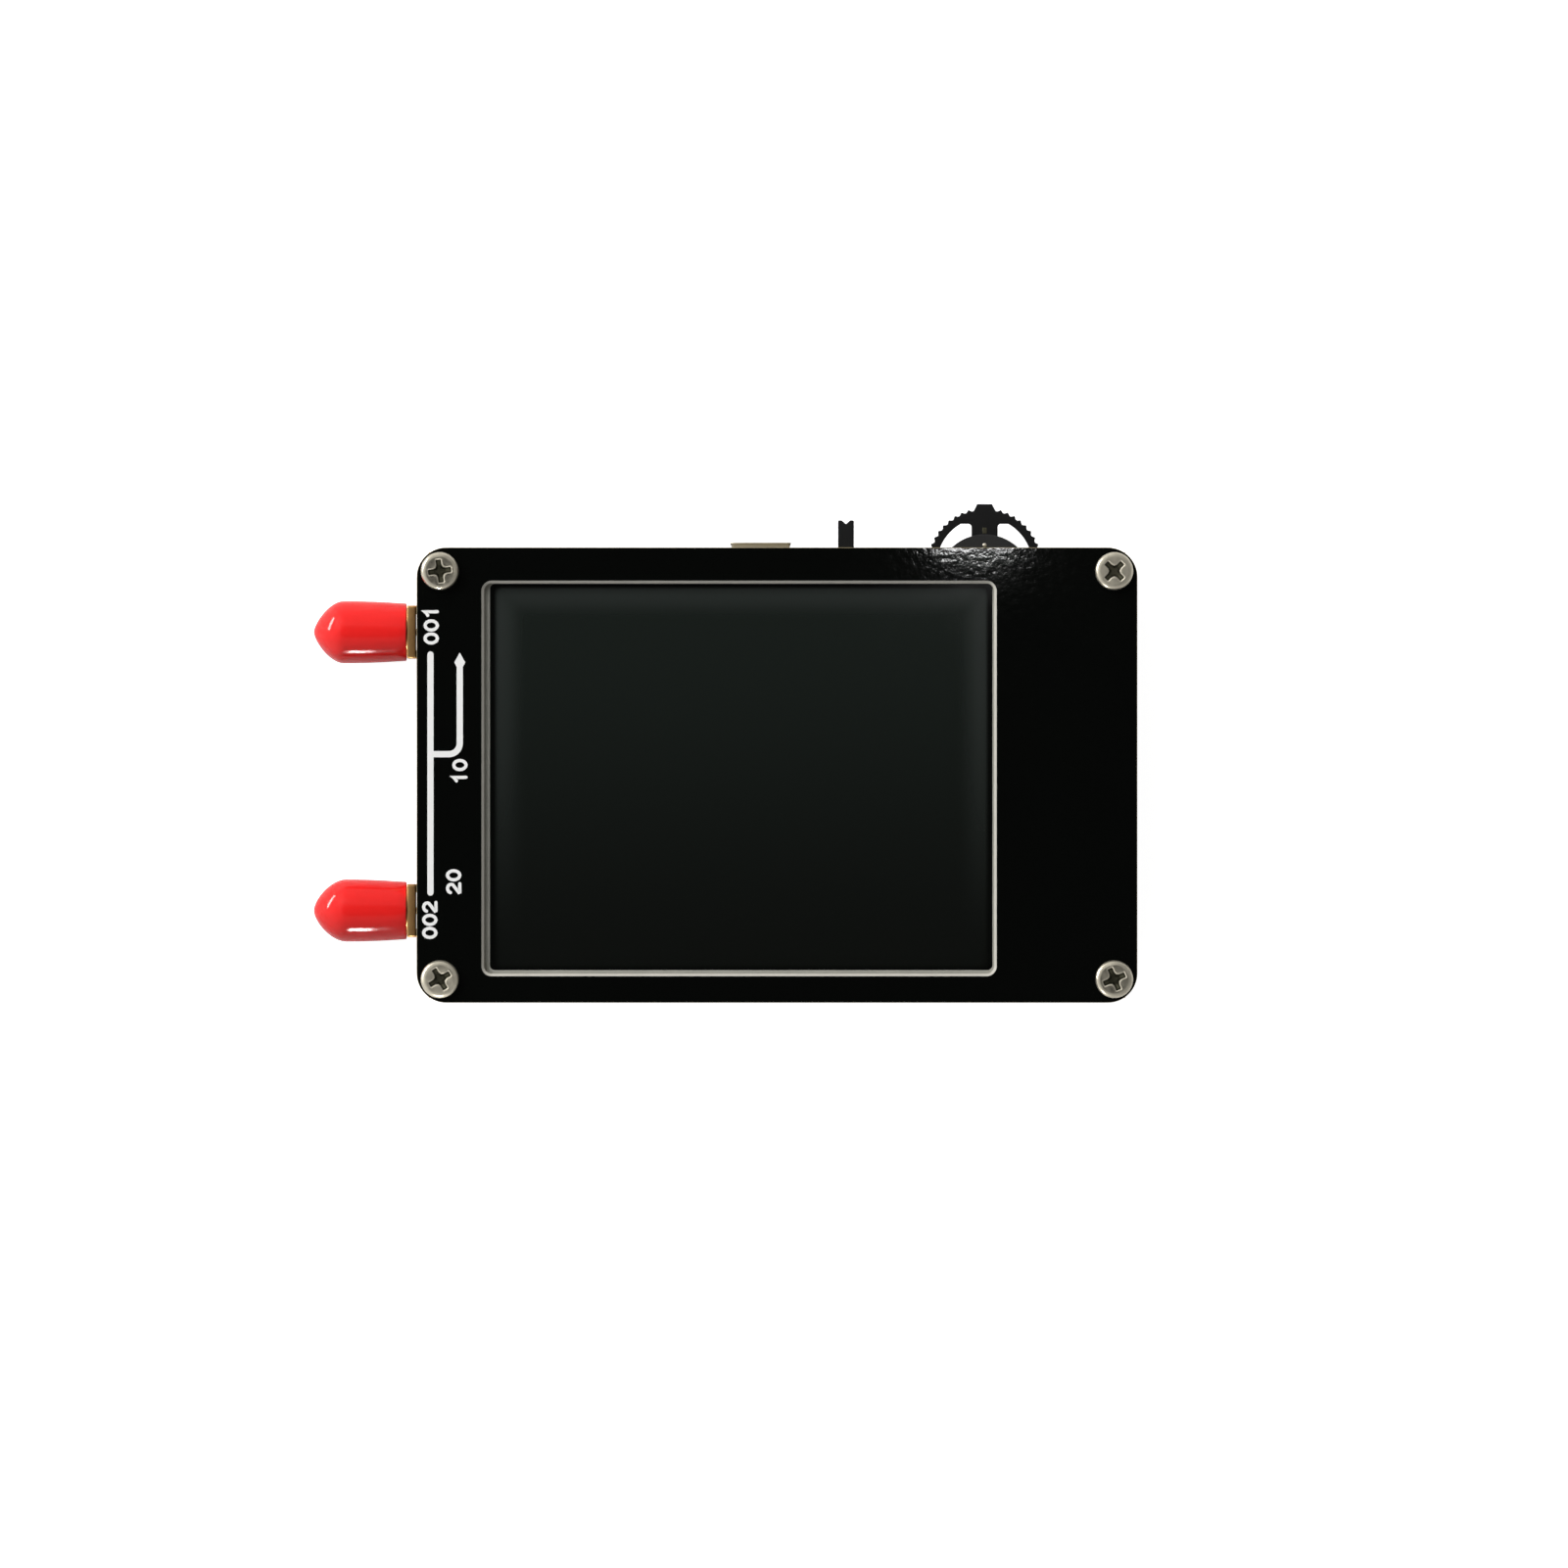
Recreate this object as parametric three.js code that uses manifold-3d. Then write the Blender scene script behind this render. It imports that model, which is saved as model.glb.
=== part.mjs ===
// A pocket antenna analyzer: three circuit boards held apart by threaded posts, with a
// touch display behind a window in the front board, two capped coaxial jacks on the left
// edge, and a USB socket, a slide switch and a jog wheel on the top edge.
//
// Millimetres, +Z up. The analyzer lies on the heads of its rear screws with the display
// facing up. X runs along the long side, and Y along the short side, towards the edge that
// has the controls. The origin is on the ground, under the middle of the whole part.

import * as THREE from 'three';
import { mergeVertices } from 'three/addons/utils/BufferGeometryUtils.js';
import Module from 'manifold-3d';

const wasm = await Module();
wasm.setup();

// Display module: the area that lights up, the borders around it, and its layers
const viewLength = 57.6;
const viewWidth = 43.2;
const viewBorderLeft = 3.7;
const viewBorderRight = 7.9;
const viewBorderTop = 3.8;
const viewBorderBottom = 3;
const displayCornerRadius = 0.6;
const displayLayerInset = 0.3;
const displayTapeThickness = 0.2;
const displayTapeWidth = 8;
const displayTapeInset = 4;
const displayTrayThickness = 1.2;
const displayGlassThickness = 0.8;
const touchThickness = 0.8;
const gasketThickness = 0.2;

// Flexible print that leads from the display glass to the main board
const flexWidth = 22;
const flexThickness = 0.15;
const flexReach = 1.1;
const flexBendRadius = 0.45;
const flexFoot = 2.2;
const flexRoom = 4.8;

// Window in the front board, and how far the gasket shows inside each of its edges
const windowMarginX = 1.45;
const windowMarginY = 1.55;
const windowCornerRadius = 0.9;
const windowChamfer = 0.45;
const gasketShowLeft = 0.68;
const gasketShowRight = 0.17;
const gasketShowBottom = 0.4;
const gasketShowTop = 0.05;

// Boards
const frontPanelThickness = 1.2;
const mainBoardThickness = 1.6;
const rearPanelThickness = 1;
const boardCornerRadius = 3.5;
const displayEdgeRoom = 2;
const displayPostRoom = 0.4;
const rearRoom = 0.2;

// Screws and threaded posts
const screwInsetX = 2.75;
const screwInsetY = 2.8;
const threadRadius = 1.2;
const threadClearance = 0.05;
const screwHoleClearance = 0.15;
const screwHeadRadius = 2.25;
const screwHeadHeight = 1.3;
const screwHeadRound = 0.6;
const recessSpan = 2.8;
const recessWidth = 0.65;
const recessDepth = 0.75;
const postAcrossFlats = 4.5;
const postGripShare = 0.45;
const frontScrewGripShare = 0.7;
const frontPostBoreShare = 0.85;

// Coaxial jacks on the left edge
const portInsetTop = 10;
const portInsetBottom = 10.9;
const jackBoardGap = 0.2;
const flangeSide = 6.3;
const flangeThickness = 1;
const jackNeckRadius = 2.8;
const jackNeckLength = 1.5;
const jackThreadRadius = 3.125;
const jackThreadDepth = 0.32;
const jackThreadPitch = 0.705;
const jackThreadTurns = 8;
const jackTipLength = 0.5;
const jackBoreRadius = 2.05;
const jackMouthRadius = 2.3;
const jackMouthDepth = 1.9;
const jackLegWidth = 1;
const jackLegThickness = 1;
const jackLegLength = 4.2;
const insulatorClearance = 0.05;
const contactRadius = 0.64;
const contactHoleRadius = 0.46;
const contactHoleDepth = 2.5;
const contactPinRadius = 0.4;
const contactPinLength = 2.4;
const solderGap = 0.05;

// Dust caps: one cap's nose is pointed, the other's is round
const capClearance = 0.06;
const capWall = 0.53;
const capMouthGap = 0.1;
const capEndRoom = 0.6;
const capNoseLength = 2.9;
const capNoseWall = 0.9;
const pointedNosePower = 1.35;
const roundNosePower = 0.9;

// USB socket on the top edge
const usbToSwitch = 11.15;
const usbProud = 0.65;
const usbLipGap = 0.15;
const usbLipFlare = 0.2;
const usbWidth = 6.9;
const usbNarrowWidth = 5;
const usbHeight = 2.45;
const usbSideHeight = 1.5;
const usbLength = 5;
const usbWall = 0.3;
const usbInsertClearance = 0.05;
const usbInsertBack = 1.3;
const usbTongueWidth = 3.9;
const usbTongueThickness = 0.6;
const usbTongueDrop = 0.35;
const usbTongueInset = 1;

// Slide switch on the top edge
const switchToJog = 15.5;
const switchInset = 0.1;
const switchDepth = 2.7;
const switchHeight = 1.5;
const switchBaseThickness = 0.35;
const switchWall = 0.25;
const switchTravel = 2;
const switchSlack = 0.6;
const switchClearance = 0.05;
const leverWidth = 1.8;
const leverLength = 3.3;
const leverThickness = 1.1;
const leverBlockLength = 3;
const leverArmThickness = 0.55;
const leverSlotClearance = 0.15;
const leverNotchDepth = 0.45;
const leverNotchWidth = 1;

// Jog switch on the top edge: a wheel on a carrier that slides between cover and base
const jogInsetRight = 18.05;
const jogInset = 2.05;
const jogWheelRadius = 6.7;
const jogWheelThickness = 1.9;
const jogKnurlPitch = 0.95;
const jogKnurlDepth = 0.22;
const jogNubHeight = 0.6;
const jogNubWidth = 1.9;
const jogRimSide = 1;
const jogRimTop = 1.75;
const jogHubRadius = 3.2;
const jogSpokeWidth = 3.1;
const jogWindowRound = 0.4;
const jogSpindleRadius = 1.2;
const jogSpindleClearance = 0.1;
const jogSpindleProud = 0.15;
const jogRunClearance = 0.05;
const jogCoverThickness = 0.6;
const jogCoverWidth = 8;
const jogCoverArcRadius = 5.75;
const jogCoverArcDrop = 2.07;
const jogCoverClearance = 0.3;
const jogFloorThickness = 0.5;
const jogFloorInset = 0.25;
const jogRailWidth = 0.9;
const jogCarrierWidth = 4.8;
const jogCarrierThickness = 0.4;
const jogCarrierBack = 4.5;
const jogCarrierFront = 1.2;
const jogPushTravel = 0.5;
const jogBackClearance = 0.2;
const jogBackDepth = 2;

// Battery, its plug and its leads
const batteryLength = 34;
const batteryWidth = 28;
const batteryThickness = 3.4;
const batteryCornerRadius = 1.5;
const batteryTapeThickness = 0.3;
const batteryTapeInset = 3;
const batteryLedgeWidth = 2.5;
const batteryLedgeThickness = 1.4;
const batteryInsetRight = 8.75;
const batteryInsetBottom = 6;
const leadRadius = 0.5;
const leadGap = 0.3;
const leadPitch = 1.25;
const leadFirstRun = 1.5;
const leadStartInset = 12;
const leadStartPitch = 2.4;
const plugRise = 4.4;
const plugPlaceShare = 0.235;
const plugWidth = 4.2;
const plugLength = 4.3;
const plugHeight = 1.9;
const plugProud = 1;
const plugClearance = 0.1;
const socketWall = 0.6;

// Circuit on the rear face of the main board
const shieldLength = 20;
const shieldWidth = 16;
const shieldHeight = 2.2;
const shieldWall = 0.3;
const shieldYShare = 0.195;
const chipGap = 0.5;
const shieldSpareShare = 0.17;
const processorSpareShare = 0.386;
const processorSide = 7;
const processorThickness = 1.4;
const processorYShare = 0.03;
const codecSide = 5;
const codecThickness = 0.8;
const codecYShare = -0.15;
const clockChipSide = 3;
const clockChipThickness = 1;
const clockChipYShare = 0.19;
const crystalLength = 5;
const crystalWidth = 3.2;
const crystalThickness = 1.2;
const crystalYShare = 0.28;
const powerChipLength = 3;
const powerChipWidth = 1.7;
const powerChipThickness = 1.1;
const chargerYShare = 0.31;
const chargerRoom = 1.13;
const regulatorRoom = 1.99;
const regulatorRise = 4.88;
const mixerLength = 4.9;
const mixerWidth = 3.9;
const mixerThickness = 1.5;
const mixerSpreadShare = 0.25;

// How finely curves are cut, how far a cut runs past a face, and the welding distance
const cornerSteps = 7;
const holeSteps = 20;
const turnSteps = 24;
const edgeSteps = 3;
const noseSteps = 6;
const leadSides = 8;
const leadSteps = 14;
const overrun = 1;
const weldDistance = 0.0001;

// Sizes across: the boards hold the display on one face, and the circuit on the other
const postRadius = postAcrossFlats / Math.sqrt(3);
const displayLength = viewBorderLeft + viewLength + viewBorderRight;
const displayWidth = viewBorderBottom + viewWidth + viewBorderTop;
const postRoom = screwInsetX + postRadius + displayPostRoom;
const jackLegReach = jackLegLength - jackBoardGap;
const circuitLength = jackLegReach + chipGap + shieldLength + chipGap + processorSide
  + chipGap + batteryLength + batteryInsetRight;
const panelLength = Math.max(postRoom + displayLength + flexRoom + postRoom, circuitLength);
const jogBackFront = jogWheelRadius + jogPushTravel + jogBackClearance;
const jogBackRear = jogBackFront + jogBackDepth;
const leadRoom = leadFirstRun + leadPitch + leadRadius + leadGap;
const circuitWidth = batteryInsetBottom + batteryWidth + leadRoom + jogBackRear + jogInset;
const panelWidth = Math.max(displayWidth + 2 * displayEdgeRoom, circuitWidth);
const panelRight = panelLength / 2;
const panelTop = panelWidth / 2;
const displayLeft = -panelRight + postRoom;
const displayRight = displayLeft + displayLength;
const displayTop = displayWidth / 2;
const screwX = panelRight - screwInsetX;
const screwY = panelTop - screwInsetY;
const corners = [[-1, 1], [1, 1], [-1, -1], [1, -1]];
const recessTurns = [8, 45, 30, 23].map(THREE.MathUtils.degToRad);

// The controls stand in a row along the top edge, counted from the right end of the board
const jogX = panelRight - jogInsetRight;
const switchX = jogX - switchToJog;
const usbX = switchX - usbToSwitch;

// Along the rear face, what the circuit leaves spare lies between the cans, chips and battery
const spareLength = panelLength - circuitLength;
const batteryRight = panelRight - batteryInsetRight;
const batteryLeft = batteryRight - batteryLength;
const batteryBottom = -panelTop + batteryInsetBottom;
const batteryTop = batteryBottom + batteryWidth;
const plugX = batteryLeft + plugPlaceShare * batteryLength;
const socketHalf = plugWidth / 2 + plugClearance + socketWall;
const shieldLeft = -panelRight + jackLegReach + chipGap + shieldSpareShare * spareLength;
const shieldX = shieldLeft + shieldLength / 2;
const processorLeft = shieldLeft + shieldLength + chipGap + processorSpareShare * spareLength;
const processorX = processorLeft + processorSide / 2;

// Heights, worked out from the layers
const batteryStack = batteryTapeThickness + batteryThickness;
const jogRunStack = jogWheelThickness + jogCarrierThickness + 2 * jogRunClearance;
const jogStack = jogCoverThickness + jogCoverClearance + jogRunStack + jogFloorThickness;
const rearGap = Math.max(batteryStack, jogStack) + rearRoom;
const frontGap = displayTapeThickness + displayTrayThickness + displayGlassThickness
  + touchThickness + gasketThickness;
const rearPanelBottom = screwHeadHeight;
const rearPanelTop = rearPanelBottom + rearPanelThickness;
const boardBottom = rearPanelTop + rearGap;
const boardTop = boardBottom + mainBoardThickness;
const trayBottom = boardTop + displayTapeThickness;
const displayGlassBottom = trayBottom + displayTrayThickness;
const touchBottom = displayGlassBottom + displayGlassThickness;
const gasketBottom = touchBottom + touchThickness;
const frontPanelBottom = gasketBottom + gasketThickness;
const frontPanelTop = frontPanelBottom + frontPanelThickness;

// Window edges, in the front board
const windowLeft = displayLeft + viewBorderLeft - windowMarginX;
const windowRight = displayRight - viewBorderRight + windowMarginX;
const windowBottom = -displayTop + viewBorderBottom - windowMarginY;
const windowTop = displayTop - viewBorderTop + windowMarginY;

const material = {
  boardBlack: finish(0x0a0b0b, 0.35, 0),
  steel: finish(0xb9b5ad, 0.28, 1),
  brass: finish(0xc09a58, 0.3, 1),
  capRed: finish(0xe62b2e, 0.32, 0),
  blackPlastic: finish(0x161616, 0.5, 0),
  whitePlastic: finish(0xe9e6dc, 0.5, 0),
  displayGlass: finish(0x14181a, 0.12, 0),
  touchGlass: finish(0x101412, 0.06, 0),
  gasketGrey: finish(0x77776f, 0.8, 0),
  foamTape: finish(0x2a2a2a, 0.95, 0),
  flexAmber: finish(0x9a5a1c, 0.4, 0),
  batteryFoil: finish(0xc4c6c8, 0.35, 0.8),
  chipBlack: finish(0x202124, 0.6, 0),
  shieldTin: finish(0xbcbdbd, 0.4, 1),
  leadRed: finish(0xb01818, 0.5, 0),
  leadBlack: finish(0x1a1a1a, 0.5, 0),
};

function finish(color, roughness, metalness) {
  return new THREE.MeshStandardMaterial({ color, roughness, metalness, flatShading: true });
}

// A closed solid from a geometry, with its seams welded and its empty triangles dropped
function solidOf(geometry) {
  geometry.deleteAttribute('normal');
  geometry.deleteAttribute('uv');
  const welded = mergeVertices(geometry, weldDistance);
  const index = welded.index.array;
  const triangles = [];
  for (let i = 0; i < index.length; i += 3) {
    const [a, b, c] = [index[i], index[i + 1], index[i + 2]];
    if (a !== b && b !== c && c !== a) {
      triangles.push(a, b, c);
    }
  }
  const vertProperties = new Float32Array(welded.attributes.position.array);
  const triVerts = new Uint32Array(triangles);
  return new wasm.Manifold(new wasm.Mesh({ numProp: 3, vertProperties, triVerts }));
}

function geometryOf(solid) {
  const cut = solid.getMesh();
  const geometry = new THREE.BufferGeometry();
  geometry.setAttribute('position', new THREE.BufferAttribute(cut.vertProperties, 3));
  geometry.setIndex(new THREE.BufferAttribute(cut.triVerts, 1));
  geometry.computeVertexNormals();
  return geometry;
}

function joined(solids) {
  return solids.reduce((whole, solid) => whole.add(solid));
}

// Points along an arc, for outlines and turned profiles
function arc(centerX, centerY, radius, start, end, steps) {
  const points = [];
  for (let i = 0; i <= steps; i += 1) {
    const angle = start + (end - start) * i / steps;
    const x = centerX + radius * Math.cos(angle);
    const y = centerY + radius * Math.sin(angle);
    points.push(new THREE.Vector2(x, y));
  }
  return points;
}

function circle(centerX, centerY, radius, steps) {
  return arc(centerX, centerY, radius, 0, 2 * Math.PI, steps).slice(0, steps);
}

function roundedOutline(left, right, bottom, top, radius) {
  const quarter = Math.PI / 2;
  return [
    ...arc(right - radius, top - radius, radius, 0, quarter, cornerSteps),
    ...arc(left + radius, top - radius, radius, quarter, 2 * quarter, cornerSteps),
    ...arc(left + radius, bottom + radius, radius, 2 * quarter, 3 * quarter, cornerSteps),
    ...arc(right - radius, bottom + radius, radius, 3 * quarter, 4 * quarter, cornerSteps),
  ];
}

function shapeOf(outline, holes) {
  const shape = new THREE.Shape(outline);
  shape.holes = holes.map((points) => new THREE.Path(points));
  return shape;
}

// A block between six named faces
function block(left, right, back, front, bottom, top) {
  const geometry = new THREE.BoxGeometry(right - left, front - back, top - bottom);
  geometry.translate((left + right) / 2, (back + front) / 2, (bottom + top) / 2);
  return solidOf(geometry);
}

// An outline in X and Y, raised from bottom to top
function prism(outline, holes, bottom, top) {
  const shape = shapeOf(outline, holes);
  const geometry = new THREE.ExtrudeGeometry(shape, { depth: top - bottom, bevelEnabled: false });
  geometry.translate(0, 0, bottom);
  return solidOf(geometry);
}

// An outline in X and Z, drawn out along Y from front to back
function channel(outline, back, front) {
  const shape = shapeOf(outline, []);
  const geometry = new THREE.ExtrudeGeometry(shape, { depth: front - back, bevelEnabled: false });
  geometry.rotateX(Math.PI / 2);
  geometry.translate(0, front, 0);
  return solidOf(geometry);
}

function rod(radius, bottom, top, steps) {
  return prism(circle(0, 0, radius, steps), [], bottom, top);
}

// A profile of radius and height, turned about the Z axis
function turned(profile, steps) {
  const geometry = new THREE.LatheGeometry(profile, steps);
  geometry.rotateX(Math.PI / 2);
  return solidOf(geometry);
}

// A profile of radius and distance, turned about the X axis and pointing away from the board
function turnedOutwards(profile) {
  const geometry = new THREE.LatheGeometry(profile, turnSteps);
  geometry.rotateX(Math.PI / 2);
  geometry.rotateY(-Math.PI / 2);
  return solidOf(geometry);
}

const analyzer = new THREE.Group();

function addPiece(name, solid, look, x = 0, y = 0, z = 0) {
  const piece = new THREE.Mesh(geometryOf(solid), look);
  piece.name = name;
  piece.position.set(x, y, z);
  analyzer.add(piece);
  return piece;
}

// The three boards share one outline and one pattern of screw holes
function boardOutline() {
  return roundedOutline(-panelRight, panelRight, -panelTop, panelTop, boardCornerRadius);
}

function screwHoles() {
  const radius = threadRadius + screwHoleClearance;
  return corners.map(([sideX, sideY]) => circle(sideX * screwX, sideY * screwY, radius, holeSteps));
}

function addBoards() {
  const outline = boardOutline();
  const holes = screwHoles();
  const opening = roundedOutline(
    windowLeft, windowRight, windowBottom, windowTop, windowCornerRadius,
  );
  const panel = prism(outline, [...holes, opening], frontPanelBottom, frontPanelTop);
  const cutSize = windowChamfer + overrun;
  const chamfer = new THREE.ExtrudeGeometry(shapeOf(opening, []), {
    depth: overrun,
    bevelThickness: cutSize,
    bevelSize: cutSize,
    bevelSegments: 1,
  });
  chamfer.translate(0, 0, frontPanelTop + overrun);
  addPiece('front_panel', panel.subtract(solidOf(chamfer)), material.boardBlack);
  addPiece('main_board', prism(outline, holes, boardBottom, boardTop), material.boardBlack);
  addPiece('rear_panel', prism(outline, holes, rearPanelBottom, rearPanelTop), material.boardBlack);
}

function addPosts() {
  const hexagon = circle(0, 0, postRadius, 6);
  const boreRadius = threadRadius + threadClearance;
  const bore = circle(0, 0, boreRadius, holeSteps);
  const studLength = mainBoardThickness + rearGap * postGripShare;
  const boreBottom = frontGap * (1 - frontPostBoreShare);
  const frontPost = prism(hexagon, [], 0, frontGap)
    .add(rod(threadRadius, -studLength, boreBottom / 2, holeSteps))
    .subtract(rod(boreRadius, boreBottom, frontGap + overrun, holeSteps));
  const rearPost = prism(hexagon, [bore], 0, rearGap);
  corners.forEach(([sideX, sideY], i) => {
    const [x, y] = [sideX * screwX, sideY * screwY];
    addPiece(`front_post_${i + 1}`, frontPost, material.brass, x, y, boardTop);
    addPiece(`rear_post_${i + 1}`, rearPost, material.brass, x, y, rearPanelTop);
  });
}

// A pan head screw with a cross recess, its head upwards and its shank below the origin
function screw(shankLength, recessTurn) {
  const roundedEdge = arc(
    screwHeadRadius - screwHeadRound, screwHeadHeight - screwHeadRound, screwHeadRound,
    0, Math.PI / 2, edgeSteps,
  );
  const body = turned([
    new THREE.Vector2(0, -shankLength),
    new THREE.Vector2(threadRadius, -shankLength),
    new THREE.Vector2(threadRadius, 0),
    new THREE.Vector2(screwHeadRadius, 0),
    ...roundedEdge,
    new THREE.Vector2(0, screwHeadHeight),
  ], holeSteps);
  const recess = [0, Math.PI / 2].map((quarterTurn) => {
    const slot = new THREE.BoxGeometry(recessSpan, recessWidth, recessDepth + overrun);
    slot.rotateZ(recessTurn + quarterTurn);
    slot.translate(0, 0, screwHeadHeight + (overrun - recessDepth) / 2);
    return solidOf(slot);
  });
  return body.subtract(joined(recess));
}

function addScrews() {
  const frontShank = frontPanelThickness + frontGap * frontScrewGripShare;
  const rearShank = rearPanelThickness + rearGap * postGripShare;
  corners.forEach(([sideX, sideY], i) => {
    const [x, y] = [sideX * screwX, sideY * screwY];
    const turn = recessTurns[i];
    addPiece(`front_screw_${i + 1}`, screw(frontShank, turn), material.steel, x, y, frontPanelTop);
    const rearScrew = addPiece(
      `rear_screw_${i + 1}`, screw(rearShank, turn), material.steel, x, y, rearPanelBottom,
    );
    rearScrew.rotation.x = Math.PI;
  });
}

// The display module is taped to the main board and pressed against the front board
function addDisplay() {
  const outlineInset = (inset) => roundedOutline(
    displayLeft + inset, displayRight - inset,
    -displayTop + inset, displayTop - inset, displayCornerRadius,
  );
  const tapeEnd = displayTop - displayTapeInset;
  const tapeLefts = [
    displayLeft + displayTapeInset,
    displayRight - displayTapeInset - displayTapeWidth,
  ];
  tapeLefts.forEach((left, i) => {
    const tape = block(left, left + displayTapeWidth, -tapeEnd, tapeEnd, boardTop, trayBottom);
    addPiece(`display_tape_${i + 1}`, tape, material.foamTape);
  });
  const tray = prism(outlineInset(0), [], trayBottom, displayGlassBottom);
  addPiece('display_tray', tray, material.whitePlastic);
  const glass = prism(outlineInset(displayLayerInset), [], displayGlassBottom, touchBottom);
  addPiece('display_glass', glass, material.displayGlass);
  const touch = prism(outlineInset(displayLayerInset), [], touchBottom, gasketBottom);
  addPiece('touch_panel', touch, material.touchGlass);
  const gasketHole = roundedOutline(
    windowLeft + gasketShowLeft, windowRight - gasketShowRight,
    windowBottom + gasketShowBottom, windowTop - gasketShowTop, displayCornerRadius,
  );
  const gasketOutline = outlineInset(2 * displayLayerInset);
  const gasket = prism(gasketOutline, [gasketHole], gasketBottom, frontPanelBottom);
  addPiece('display_gasket', gasket, material.gasketGrey);
}

// The flexible print leaves the edge of the display glass, bends down and is soldered flat
function addFlex() {
  const half = flexThickness / 2;
  const start = displayRight - displayLayerInset + half;
  const high = displayGlassBottom + displayGlassThickness / 2;
  const low = boardTop + half;
  const bendX = displayRight + flexReach;
  const inner = flexBendRadius - half;
  const outer = flexBendRadius + half;
  const quarter = Math.PI / 2;
  const firstX = bendX - flexBendRadius;
  const firstZ = high - flexBendRadius;
  const lastX = bendX + flexBendRadius;
  const lastZ = low + flexBendRadius;
  const footEnd = lastX + flexFoot;
  const outline = [
    new THREE.Vector2(start, high - half),
    ...arc(firstX, firstZ, inner, quarter, 0, edgeSteps),
    ...arc(lastX, lastZ, outer, 2 * quarter, 3 * quarter, edgeSteps),
    new THREE.Vector2(footEnd, low - half),
    new THREE.Vector2(footEnd, low + half),
    ...arc(lastX, lastZ, inner, 3 * quarter, 2 * quarter, edgeSteps),
    ...arc(firstX, firstZ, outer, 0, quarter, edgeSteps),
    new THREE.Vector2(start, high + half),
  ];
  addPiece('display_flex', channel(outline, -flexWidth / 2, flexWidth / 2), material.flexAmber);
}

// Each jack straddles the board's edge with four legs, its contact pin on the rear face
const jackThreadStart = flangeThickness + jackNeckLength;
const jackLength = jackThreadStart + jackThreadTurns * jackThreadPitch + jackTipLength;
const contactDrop = contactPinRadius + solderGap;
const portZ = boardBottom - contactDrop;

function jack() {
  const profile = [new THREE.Vector2(0, 0), new THREE.Vector2(jackNeckRadius, 0)];
  profile.push(new THREE.Vector2(jackNeckRadius, jackThreadStart));
  for (let i = 0; i < jackThreadTurns; i += 1) {
    const crest = jackThreadStart + (i + 1 / 2) * jackThreadPitch;
    const root = jackThreadStart + (i + 1) * jackThreadPitch;
    profile.push(new THREE.Vector2(jackThreadRadius, crest));
    profile.push(new THREE.Vector2(jackThreadRadius - jackThreadDepth, root));
  }
  profile.push(new THREE.Vector2(jackThreadRadius - jackThreadDepth, jackLength));
  profile.push(new THREE.Vector2(0, jackLength));
  const half = flangeSide / 2;
  const flange = block(-flangeThickness, 0, -half, half, -half, half);
  const legs = [-1, 1].flatMap((side) => {
    const outer = side * half;
    const inner = side * (half - jackLegWidth);
    const [back, front] = [Math.min(outer, inner), Math.max(outer, inner)];
    const legStart = -flangeThickness / 2;
    const upper = contactDrop + mainBoardThickness;
    return [
      block(legStart, jackLegLength, back, front, upper, upper + jackLegThickness),
      block(legStart, jackLegLength, back, front, contactDrop - jackLegThickness, contactDrop),
    ];
  });
  const bore = turnedOutwards([
    new THREE.Vector2(0, -overrun),
    new THREE.Vector2(jackBoreRadius, -overrun),
    new THREE.Vector2(jackBoreRadius, jackLength - jackMouthDepth),
    new THREE.Vector2(jackMouthRadius, jackLength - jackMouthDepth),
    new THREE.Vector2(jackMouthRadius, jackLength + overrun),
    new THREE.Vector2(0, jackLength + overrun),
  ]);
  return joined([turnedOutwards(profile), flange, ...legs]).subtract(bore);
}

function insulator() {
  const inner = contactRadius + insulatorClearance;
  const outer = jackBoreRadius - insulatorClearance;
  const end = jackLength - jackMouthDepth;
  return turnedOutwards([
    new THREE.Vector2(inner, 0),
    new THREE.Vector2(outer, 0),
    new THREE.Vector2(outer, end),
    new THREE.Vector2(inner, end),
    new THREE.Vector2(inner, 0),
  ]);
}

function contact() {
  const end = jackLength - jackMouthDepth;
  return turnedOutwards([
    new THREE.Vector2(0, -contactPinLength),
    new THREE.Vector2(contactPinRadius, -contactPinLength),
    new THREE.Vector2(contactPinRadius, 0),
    new THREE.Vector2(contactRadius, 0),
    new THREE.Vector2(contactRadius, end),
    new THREE.Vector2(contactHoleRadius, end),
    new THREE.Vector2(contactHoleRadius, end - contactHoleDepth),
    new THREE.Vector2(0, end - contactHoleDepth),
  ]);
}

// A dipped vinyl cap, open at the flange, with a nose that tapers by the given power
function dustCap(nosePower) {
  const innerRadius = jackThreadRadius + capClearance;
  const outerRadius = innerRadius + capWall;
  const bodyLength = jackLength - flangeThickness - capMouthGap + capEndRoom;
  const nose = (radius, length) => {
    const points = [];
    for (let i = 0; i <= noseSteps; i += 1) {
      const angle = Math.PI / 2 * i / noseSteps;
      const taper = i === noseSteps ? 0 : Math.cos(angle) ** nosePower;
      points.push(new THREE.Vector2(radius * taper, bodyLength + length * Math.sin(angle)));
    }
    return points;
  };
  return turnedOutwards([
    new THREE.Vector2(innerRadius, 0),
    new THREE.Vector2(outerRadius, 0),
    ...nose(outerRadius, capNoseLength),
    ...nose(innerRadius, capNoseLength - capNoseWall).reverse(),
    new THREE.Vector2(innerRadius, 0),
  ]);
}

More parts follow.
